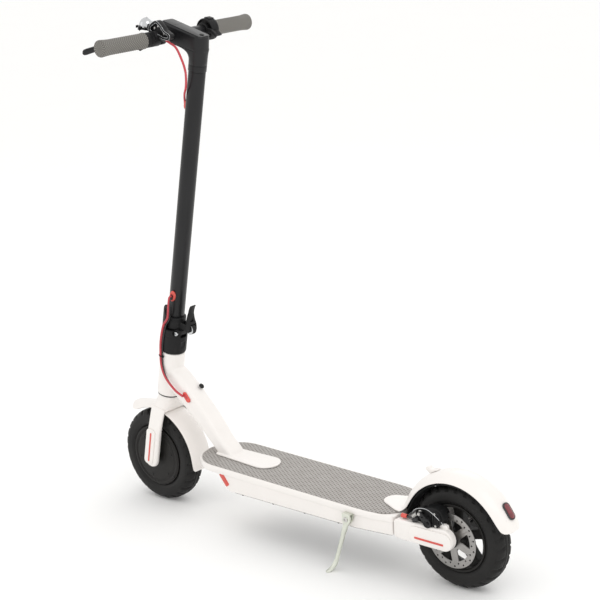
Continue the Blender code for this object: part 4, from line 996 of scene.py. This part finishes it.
frame_plate = prism(smooth_loop(loop_out), -0.0652, -0.0507, "Y", 0.0012, 2)
frame_plate = minus(frame_plate, prism(smooth_loop(loop_in), -0.068, -0.059, "Y"))
floor_plate = prism(smooth_loop(loop_in), -0.0592, -0.053, "Y")
foot_block = prism([(-0.09, 0.969), (-0.09, 0.983), (-0.056, 0.981), (-0.056, 0.976), (-0.07, 0.974)],
                   -0.0735, -0.06, "Y", 0.0008, 1)
clamp = union(clamp, jaw, frame_plate, foot_block)
clamp = minus(clamp, rod(BAR_HOLE, -0.1, -0.05, BAR, Y, 72), box((-0.12, -0.09, 0.9604), (-0.0892, -0.0562, 0.9697)),
              rod(0.003, -0.085, -0.07, (-0.088, 0, 0.9768), Y, 24))
clamp = union(clamp, rod(0.0022, 0.9585, 0.9718, (PIVOT.x, PIVOT.y, 0), Z, 24))
piece("brake_perch_detail", clamp, "moulded", "stem", smooth=45)
for name, loop, y in (("perch_edge_outer", loop_out, -0.065), ("perch_edge_inner", loop_in, -0.0652)):
    path = [Vector((u, y, v)) for u, v in smooth_loop(loop, 0.0015)]
    rings = []
    for i, p in enumerate(path):
        along = (path[(i + 1) % len(path)] - path[i - 1]).normalized()
        side = along.cross(Y).normalized()
        rings.append([p + (side * cos(t) + Y * sin(t)) * 0.00042 for t in turn_steps(8)])
    piece(name, loft(rings, closed=True), "chrome", "stem")
piece("perch_screws", join(screw_head((-0.0735, -0.059, 0.9925), -Y, 0.0028, 0.0018),
                           screw_head((-0.064, -0.059, 0.9985), -Y, 0.0022, 0.0014),
                           screw_head((-0.046, -0.059, 0.9868), -Y, 0.0022, 0.0014),
                           screw_head((-0.0895, -0.0748, 0.9775), -Y, 0.0034, 0.0026)), "steel", "stem")
piece("perch_window_floor", minus(floor_plate, rod(0.0014, -0.08, -0.05, (-0.058, 0, 0.99), Y, 16)), "moulded", "stem")
adjuster = turned(rounded([(0, 0.015), (0.0026, 0.015), (0.003, 0.012), (0.004, 0.011), (0.004, 0.003), (0.0034, 0.002),
                           (0.0034, 0), (0, 0)], 0.0004), (-0.0545, -0.063, 0.979), (0.8, 0.42, -0.42), 40)
piece("cable_adjuster", adjuster, "sheath", "stem")
nub = union(prism(round_rect(-0.004, 0.004, -0.108, -0.096, 0.0022, 5), -0.0178, -0.015, "Z", 0.0008, 2),
            rod(0.0028, -0.0196, -0.016, (0, -0.102, 0), Z, 24, 0.0006))
nub.transform(Matrix.Translation(BAR))
piece("grip_clamp_nub", nub, "moulded", "stem")

# Brake lever: a curved blade with a rounded tip
BLADES = [(-0.067, -0.1, 0.004, 0.965, 0.0036), (-0.08, -0.1035, 0.004, 0.9645, 0.0038),
          (-0.1, -0.111, 0.0034, 0.9615, 0.005), (-0.13, -0.119, 0.0031, 0.9565, 0.0058),
          (-0.165, -0.126, 0.003, 0.9505, 0.0062), (-0.193, -0.1298, 0.0032, 0.9458, 0.0066)]
rows = dense(BLADES, 56) + [(-0.198, -0.1302, 0.003, 0.9453, 0.006), (-0.2005, -0.1303, 0.0026, 0.9451, 0.005),
                            (-0.202, -0.1302, 0.0018, 0.945, 0.0034)]
lever = loft([[Vector((a + u * (1 - 0.1 * abs(v / h) ** 2), y, s + v)) for u,
               v in round_rect(-t, t, -h, h, min(t, h) * 0.85, 6)]
              for y, a, t, s, h in rows])
lever = union(lever, rod(0.0062, 0.9608, 0.9692, (PIVOT.x, PIVOT.y, 0), Z, 56, 0.0008))
lever = minus(lever, rod(0.0025, 0.95, 0.98, (PIVOT.x, PIVOT.y, 0), Z, 24))
piece("brake_lever_detail", lever, "black", "brake_lever", smooth=50)

# Bell
BELL, STRIKER = (-0.108, -0.05, 0), (-0.108, -0.0685, 0)
dome = turned(rounded([(0.0012, 1.0046), (0.0042, 1.0042), (0.0078, 1.0024), (0.0112, 0.9994), (0.0136, 0.9954),
                       (0.0149, 0.9912),
                       (0.0154, 0.9872), (0.0155, 0.9858), (0.0147, 0.9856), (0.0143, 0.987), (0.014, 0.9908),
                       (0.0127, 0.9948),
                       (0.0104, 0.9986), (0.0072, 1.0014), (0.0038, 1.003), (0.0012, 1.0034)], 0.001, 2), BELL, Z, 96,
                       ring=True)
piece("bell_dome_detail", dome, "chrome", "stem", smooth=60)
piece("bell_nut", union(rod(0.001, 0.984, 1.0044, BELL, Z, 24),
                        turned([(0, 1.006), (0.0014, 1.0057), (0.0024, 1.0046), (0, 1.0044)],
                                                                        BELL, Z, 32)), "chrome", "stem")
mount = tube(BAR_HOLE, 0.0144, -0.05, -0.04, BAR, Y, 80, 0.0008)
mount = union(mount, prism(round_rect(-0.1065, -0.0745, 0.9768, 0.9826, 0.0015, 3), -0.049, -0.041, "Y", 0.0005, 1),
              rod(0.0134, 0.9806, 0.9838, BELL, Z, 72, 0.0006),
              prism(round_rect(-0.1118, -0.1042, -0.072, -0.06, 0.0025, 5), 0.9812, 0.9835, "Z", 0.0003, 1))
mount = minus(mount, rod(BAR_HOLE, -0.06, -0.03, BAR, Y, 72), rod(0.0016, 0.97, 0.99, STRIKER, Z, 20))
piece("bell_base_detail", mount, "moulded", "stem", smooth=40)
hammer = union(rod(0.003, 0.984, 0.9878, STRIKER, Z, 40, 0.0006), rod(0.0013, 0.979, 0.986, STRIKER, Z, 20),
               prism(round_rect(-0.116, -0.107, -0.0697, -0.0673, 0.001, 3), 0.9843, 0.9873, "Z", 0.0004, 1),
               prism(round_rect(-0.118, -0.1152, -0.071, -0.064, 0.0012, 4), 0.9834, 0.9886, "Z", 0.0006, 2))
piece("bell_striker_detail", hammer, "moulded", "bell_striker", smooth=40)

# Brake cables. The lower one is made as two unattached pieces split near the fold, one at the fold and one at the neck.
LOWER = [(0.0015, -0.0236, 0.402), (0.0017, -0.0266, 0.4018), (0.0026, -0.03, 0.3985), (0.004, -0.032, 0.383),
         (0.0045, -0.0322, 0.353), (-0.006, -0.0322, 0.331), (-0.01, -0.0322, 0.298), (-0.0086, -0.0322, 0.269),
         (-0.0018, -0.0322, 0.234), (0.0152, -0.0322, 0.2085), (0.0456, -0.0322, 0.191), (0.07, -0.031, 0.185)]
UPPER = [(-0.044, -0.056, 0.974), (-0.036, -0.05, 0.969), (-0.0226, -0.045, 0.9616), (-0.0064, -0.042, 0.94),
         (0.001, -0.037, 0.918), (-0.001, -0.03, 0.895), (-0.007, -0.023, 0.876), (-0.015, -0.0165, 0.861),
         (-0.0212, -0.0088, 0.848), (-0.0242, -0.004, 0.8395), (-0.0238, -0.0031, 0.8334), (-0.0205, -0.003, 0.8328)]


def beside(points, push):
    """A route that runs next to another one, pushed sideways away from the ends."""
    count = len(points) - 1
    return [tuple(Vector(p) + Vector(push) * min(1.0, 2.2 * min(i, count - i) / count)) for i, p in enumerate(points)]


for name, route, radius, finish in (("brake", LOWER, 0.0026, "cable"),
                                    ("wire", beside(LOWER, (0.0052, 0.0022, 0)), 0.0016, "sheath")):
    path = [tuple(p) for p in curve_points(route, 0.0015)]
    cut_at = min(range(len(path)), key=lambda i: abs(path[i][2] - 0.285))
    stands_for = ("lower_brake_cable",) if name == "brake" else ()
    top = pipe(path[:cut_at + 1], radius, 0.0015, 20)
    top_piece = piece(name + "_cable_at_fold", top, finish, None, replaces=stands_for, smooth=60)
    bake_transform(top_piece)
    low = pipe(path[cut_at:], radius, 0.0015, 20)
    low_piece = piece(name + "_cable_at_neck", low, finish, None, replaces=stands_for, smooth=60)
    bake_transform(low_piece)
tie = tube(0.005, 0.0062, -0.0012, 0.0012, (0, 0, 0), Z, 40, 0.0003)
for vert in tie.verts:
    vert.co.x *= 1.05
    vert.co.y *= 0.72
tie = union(tie, box((0.005, -0.0014, -0.0016), (0.0076, 0.0014, 0.0016)))
tie.transform(Matrix.Translation((-0.0058, -0.0312, 0.256)) @ Matrix.Rotation(0.15, 4, "Y"))
piece("cable_tie", tie, "moulded", "fork")
piece("upper_cable_detail", pipe(UPPER, 0.0024, 0.0015, 20), "cable", "stem", smooth=60)
for name, centre, way, body in (("grommet_slot_lower", (0.0015, -0.0221, 0.399), -Y, "stem"),
                                ("grommet_slot_upper", (-0.0216, -0.003, 0.8305), -X, "stem")):
    slot_rows = [[Vector(centre) + Vector(way) * d + Z * v + Z.cross(Vector(way)).normalized() * u
                  for u, v in round_rect(-0.0034 * k, 0.0034 * k, -0.0068 * k, 0.0068 * k, 0.0033 * k, 5)]
                 for d, k in ((-0.003, 1.0), (-0.0002, 1.0), (0.0002, 0.86))]
    piece(name, loft(slot_rows), "sheath", body)

# Grommet in the down tube's left side
LINE, OUT = Vector((0.635, 0, -0.7725)), Vector((0.7725, 0, 0.635))


def plug(y, length, width, k):
    return [Vector((-0.316, y, 0.27)) + LINE * u + OUT * v for u, v in
            round_rect(-length * k, length * k, -width * k, width * k, width * 0.96 * k, 8)]


rows = [plug(y, 0.013, 0.0056, k) for y,
        k in ((-0.0248, 1.0), (-0.0268, 1.0), (-0.028, 0.95), (-0.0284, 0.84), (-0.0281, 0.74),
                                                (-0.0274, 0.66), (-0.0272, 0.3))]
piece("neck_grommet_detail", loft(rows), "red", "frame", smooth=60)
rows = [[p - LINE * 0.003 for p in plug(y, 0.0068, 0.0024, k)] for y,
        k in ((-0.0268, 1.0), (-0.0276, 1.0), (-0.0277, 0.8))]
piece("neck_grommet_slot", loft(rows), "cable", "frame")
cap_seat = Vector((-0.306, 0.0128, 0.2866)) + OUT * 0.001
cap = turned(rounded([(0, 0.001), (0.0036, 0.001), (0.005, 0.0008), (0.0053, 0.0005), (0.0053, 0.0), (0, 0.0)], 0.0003),
             cap_seat, OUT, 64)
piece("charge_cap_detail", cap, "moulded", "charge_cap", smooth=50)
piece("charge_cap_gasket", tube(0.0052, 0.0062, -0.0006, 0.0006, cap_seat, OUT, 64, 0.0003), "moulded", "charge_cap",
      smooth=50)


# Rear brake caliper: a cast body with a boss, a knurled adjuster, fins and a wire run
def plate(points, y0, y1, width=0.001, segments=2, step=0.0015):
    return prism(smooth_loop(points, step), y0, y1, "Y", width, segments)


BOSS, ADJUSTER = (0.3707, 0, 0.146), Vector((0.344, -0.056, 0.15))
cast = prism(rounded([(0.3502, 0.14), (0.3945, 0.14), (0.4, 0.145), (0.4046, 0.152), (0.403, 0.164), (0.3985, 0.1725),
                      (0.386, 0.1778), (0.372, 0.1765), (0.358, 0.1726), (0.347, 0.162), (0.3475, 0.148),
                      (0.3502, 0.14)],
                     0.004, 5)[:-1], -0.056, -0.029, "Y", 0.0018, 3)
cast = minus(cast, rod(0.0605, -0.0372, -0.032, REAR_AXLE, Y, 128))
bridge = prism(rounded([(0.377, 0.1405), (0.3945, 0.1405), (0.403, 0.152), (0.399, 0.169), (0.388, 0.1745),
                        (0.38, 0.166),
                        (0.377, 0.15), (0.377, 0.1405)], 0.003, 4)[:-1], -0.0612, -0.054, "Y", 0.0012, 2)
cast = union(cast, bridge, rod(0.0104, -0.0612, -0.052, BOSS, Y, 72, 0.0012),
             rod(0.0058, -0.06, -0.04, (0.3525, 0, 0.166), Y, 48, 0.001))
cast = minus(cast, *[box((0.38 + 0.0052 * k, -0.064, 0.146 + 0.001 * k),
                         (0.382 + 0.0052 * k, -0.0592, 0.166 + 0.001 * k))
                     for k in range(4)], rod(0.005, -0.064, -0.059, BOSS, Y, 48))
piece("caliper_cast", cast, "moulded", "frame", replaces=("caliper_body",), smooth=42, bevel=0.0003)
arm = plate([(0.377, 0.146), (0.3752, 0.1512), (0.369, 0.156), (0.361, 0.1632), (0.354, 0.1664), (0.3492, 0.165),
             (0.3486, 0.159), (0.354, 0.154), (0.361, 0.148), (0.365, 0.1412), (0.3707, 0.139), (0.3757, 0.141)],
            -0.0648, -0.0616, 0.0006)
arm = union(arm, rod(0.0098, -0.0652, -0.0616, BOSS, Y, 64, 0.001))
arm = minus(arm, rod(0.0019, -0.07, -0.05, (0.36, 0, 0.157), Y, 24), rod(0.0066, -0.07, -0.064, BOSS, Y, 48))
piece("caliper_arm_detail", arm, "black", "caliper_arm", slot="steel", smooth=40)
piece("caliper_arm_bolt", screw_head((0.3707, -0.0641, 0.146), -Y, 0.0034, 0.0014), "moulded", "caliper_arm",
      slot="steel")
piece("caliper_arm_clamp", join(rod(0.0024, -0.0672, -0.064, (0.3522, 0, 0.1618), Y, 6, 0.0004),
                                rod(0.0032, -0.065, -0.064, (0.3522, 0, 0.1618), Y, 32, 0.0002)), "steel",
                                "caliper_arm")
knob = turned(rounded([(0, 0.016), (0.0042, 0.016), (0.0052, 0.0148), (0.0052, 0.003), (0.0044, 0.002),
                       (0.0032, 0.0016),
                       (0.0032, 0), (0, 0)], 0.0005), ADJUSTER, (-0.75, 0, -0.66), 96)
knob_axis = Vector((-0.75, 0, -0.66)).normalized()
for vert in knob.verts:
    p = vert.co - ADJUSTER
    h = p.dot(knob_axis)
    q = p - knob_axis * h
    if 0.003 < h < 0.0148 and q.length > 0.005:
        t = atan2(q.dot(Y), q.dot(Y.cross(knob_axis)))
        vert.co = ADJUSTER + knob_axis * h + q * (1 - 0.06 * (0.5 + 0.5 * cos(24 * t)))
piece("caliper_adjuster", knob, "sheath", "frame", smooth=50)
inner_wire = pipe([(0.333, -0.061, 0.159), (0.342, -0.064, 0.169), (0.356, -0.065, 0.1755), (0.372, -0.065, 0.1765),
                   (0.386, -0.064, 0.17), (0.398, -0.061, 0.159), (0.4075, -0.057, 0.148)], 0.0007, 0.002, 12)
piece("caliper_inner_wire", inner_wire, "chrome", "frame", smooth=60)
piece("caliper_bolts", join(screw_head((0.39, -0.061, 0.144), -Y, 0.0024, 0.0018),
                            screw_head((0.3885, -0.061, 0.169), -Y, 0.0024, 0.0018),
                            screw_head((0.3525, -0.0598, 0.166), -Y, 0.003, 0.0012)), "steel", "frame")
spring = []
for k in range(241):
    t = 2 * pi * k / 24
    u = k / 240
    centre = Vector((0.346, -0.0632, 0.1612)).lerp(Vector((0.335, -0.0618, 0.152)), u)
    spring.append(centre + Y * 0.003 * cos(t) + Vector((0.62, 0, -0.78)) * 0.003 * sin(t))
piece("caliper_spring", pipe(spring, 0.0005, 0.0012, 8), "steel", "frame", smooth=60)

# Rear cable with its tapered grommet
taper = turned(rounded([(0.0027, 0.0085), (0.0034, 0.0085), (0.004, 0.004), (0.0048, -0.004), (0.0048, -0.0058),
                        (0.0027, -0.0058)],
                       0.0006), (0.307, -0.0535, 0.1442), (1, -0.12, 0.1), 56, ring=True)
piece("rear_cable_grommet_detail", taper, "red", "frame", smooth=50)
REAR_CABLE = [(0.2985, -0.053, 0.1435), (0.306, -0.0535, 0.144), (0.318, -0.055, 0.1445), (0.33, -0.06, 0.149),
              (0.34, -0.0632, 0.156), (0.345, -0.0632, 0.1605)]
piece("rear_cable_detail", pipe(REAR_CABLE, 0.0024, 0.0015, 20), "sheath", "frame", replaces=("rear_brake_cable",),
      smooth=60)


# Tail light: a dark bezel with a faceted red lens
def on_fender(angle, r, along, y, up):
    t = radians(angle)
    return REAR_AXLE + upright(t) * (r + up) + upright(t + pi / 2) * along + Y * y


def pad(half_u, half_v, radius, up, k=1.0):
    return [on_fender(34, 0.1353, u * k, v * k, up) for u,
            v in round_rect(-half_u, half_u, -half_v, half_v, radius, 10)]


bezel = loft([pad(0.0185, 0.0092, 0.009, 0.0), pad(0.0185, 0.0092, 0.009, 0.0024), pad(0.018, 0.0088, 0.0086, 0.0032),
              pad(0.0168, 0.0076, 0.0074, 0.0032), pad(0.0163, 0.0071, 0.0069, 0.002)])
piece("tail_light_bezel", bezel, "gloss", "frame")
lens_mesh = loft([pad(0.0162, 0.007, 0.0068, 0.0012), pad(0.0162, 0.007, 0.0068, 0.003),
                  pad(0.0155, 0.0064, 0.0062, 0.0039),
                  pad(0.011, 0.004, 0.0038, 0.0043)])
piece("tail_light_lens", lens_mesh, "tail", "frame", replaces=("tail_light",), smooth=50)

# Fender hook
hook_line = [(112, 0, 0.0002), (115, 0, 0.0002), (118, 0, 0.0002), (121, 0, 0.0004), (121.4, 0.001, 0.006),
             (121.6, 0.0025, 0.011),
             (121.2, 0.0018, 0.014), (120.2, 0.0002, 0.0148), (119.4, -0.0004, 0.013), (118.6, 0, 0.0085),
             (116.5, 0, 0.0052),
             (114, 0, 0.0038), (112, 0, 0.003)]
hook = [on_fender(a, 0.1354, u, 0, v) for a, u, v in hook_line]
hook_mesh = plate([(p.x, p.z) for p in hook], -0.0062, 0.0062, 0.0012, 2, 0.0012)
piece("fender_hook_detail", hook_mesh, "white", "frame", smooth=50)

# Dark liner inside the rear fender
liner = []
for k in range(73):
    t = radians(174 - 153 * k / 72)
    way, half, edge_r = upright(t), 0.0322, 0.1132
    crest = 0.1322 - 0.01 * max(0, (t - radians(158)) / radians(16))
    outer = [REAR_AXLE + way * (edge_r + (crest - edge_r) * (1 - abs(v) ** 2.6)) + Y * v * half
             for v in [-1 + i / 6 for i in range(13)]]
    inner = [p - way * 0.0007 - (Y * (0.0007 if p.y > 0 else -0.0007) if abs(p.y) > 0.03 else Vector()) for p in outer[::-1]]
    liner.append(outer + inner)
piece("rear_fender_liner", loft(liner), "moulded", "frame", smooth=60)

# Kickstand
STAND = Vector((0.183, -0.083, 0.119))
cheek = [(0.1745, 0.118)] + arc(STAND.x, STAND.z, 0.0108, 190, 350, 24) + [(0.193, 0.131), (0.173, 0.131)]
fork_plate = prism([(0.1745, 0.118)] + arc(STAND.x, STAND.z, 0.0108, 190, 350, 24) + [(0.1965, 0.129), (0.17, 0.129)],
                   -0.079, -0.078, "Y")
bracket = union(prism(cheek, -0.089, -0.0866, "Y", 0.0006, 2),
                box((0.1735, -0.0885, 0.1282), (0.1925, -0.0782, 0.1308)),
                fork_plate, rod(0.003, -0.0888, -0.0785, (STAND.x, 0, STAND.z), Y, 24))
piece("kickstand_bracket_detail", bracket, "alloy", "frame", bevel=0.0003)
piece("kickstand_bolt", screw_head((STAND.x, -0.0888, STAND.z), -Y, 0.0056, 0.0028), "steel", "frame")
ankle = Vector((0.1515, -0.0898, 0.017))
towards = (ankle - STAND).normalized()
LEG = [(0.0062, 0.0), (0.0064, 0.01), (0.006, 0.022), (0.0053, 0.032), (0.0047, 0.04), (0.0044, 0.06), (0.0043, 0.085),
       (0.0044, 0.1), (0.0046, (ankle - STAND).length)]
side = towards.cross(Y).normalized()
front = side.cross(towards).normalized()
rings = []
for r, h in dense(LEG, 60):
    flat = 0.62 if h < 0.012 else min(1.0, 0.62 + 0.38 * (h - 0.012) / 0.015)
    rings.append([STAND + towards * h + side * r * cos(t) + front * r * flat * sin(t) for t in turn_steps(32)])
shank = loft(rings)
TOE = [(0.1535, -0.0888, 0.0255, 0.0046, 0.0044), (0.1515, -0.0898, 0.019, 0.005, 0.005),
       (0.149, -0.0935, 0.011, 0.0056, 0.0066),
       (0.146, -0.0985, 0.0055, 0.006, 0.008), (0.144, -0.103, 0.0022, 0.0062, 0.0084),
       (0.143, -0.105, 0.0003, 0.0058, 0.0078)]
toe = loft([[Vector((x + w * cos(t), y + d * sin(t), z)) for t in turn_steps(32)]
            for x, y, z, w, d in dense(TOE, 24)])
leg = blended(join(rod(0.0085, -0.0031, 0.0031, STAND, Y, 48, 0.0006), shank, toe), 0.0007, 4)
leg = minus(leg, box((0.1, -0.14, -0.02), (0.2, -0.05, 0.00015)), rod(0.0033, -0.01, 0.01, STAND, Y, 24))
piece("kickstand_leg_detail", leg, "alloy", "kickstand", smooth=60)


# A CAD node that is shown as it is takes its slot's usual finish, but for the bottom cover
slots = {entry["node"]: entry["material_slot"] for entry in frame["record"]["subparts"]}
for node, obj in frame["nodes"].items():
    finish = M["moulded" if node == "bottom_cover" else FINISHES[slots[node]][0]]
    if not obj.material_slots:
        obj.data.materials.append(finish)
    for material_slot in obj.material_slots:
        material_slot.material = finish


# Studio
floor = bmesh.new()
bmesh.ops.create_grid(floor, x_segments=2, y_segments=2, size=45)
floor_data = bpy.data.meshes.new("floor")
floor.to_mesh(floor_data)
floor_obj = bpy.data.objects.new("floor", floor_data)
scene.collection.objects.link(floor_obj)
floor_obj.location.z = -0.0004
floor_obj.data.materials.append(surface("studio_floor", (0.97, 0.97, 0.965), 0.8, spread=0.002, grain=300, patch=2,
                                        grain_strength=0.03))

world = bpy.data.worlds.new("studio")
scene.world = world
scene.view_settings.view_transform = "Standard"
world.use_nodes = True
background = world.node_tree.nodes["Background"]
background.inputs["Color"].default_value = (1.0, 0.995, 0.985, 1)
background.inputs["Strength"].default_value = 1.03


def softbox(name, place, target, size, power, colour=(1, 1, 1)):
    light = bpy.data.lights.new(name, "AREA")
    light.shape, light.size, light.energy, light.color = "DISK", size, power, colour
    obj = bpy.data.objects.new(name, light)
    scene.collection.objects.link(obj)
    obj.location = place
    obj.rotation_euler = (Vector(target) - Vector(place)).to_track_quat("-Z", "Y").to_euler()


softbox("key", (2.2, -0.6, 3.0), (0, 0, 0.4), 2.4, 17)
softbox("fill", (-2.6, -2.6, 2.2), (0, 0, 0.4), 2.6, 6)
softbox("rim", (-1.2, 2.8, 2.4), (0, 0, 0.5), 2.0, 7)

azimuth, elevation, roll = radians(41.986), radians(15.924), radians(-3.67)
back = Vector((sin(azimuth) * cos(elevation), -cos(azimuth) * cos(elevation), sin(elevation)))
level = (-back).cross(Z).normalized()
above = level.cross(-back)
right = level * cos(roll) + above * sin(roll)
upward = above * cos(roll) - level * sin(roll)
lens = bpy.data.cameras.new("camera")
lens.lens, lens.sensor_width, lens.clip_end = 99.27, 36, 50
camera = bpy.data.objects.new("camera", lens)
scene.collection.objects.link(camera)
view = Matrix((right, upward, back)).transposed().to_4x4()
camera.matrix_world = Matrix.Translation((2.208, -2.4341, 1.4702)) @ view
scene.camera = camera
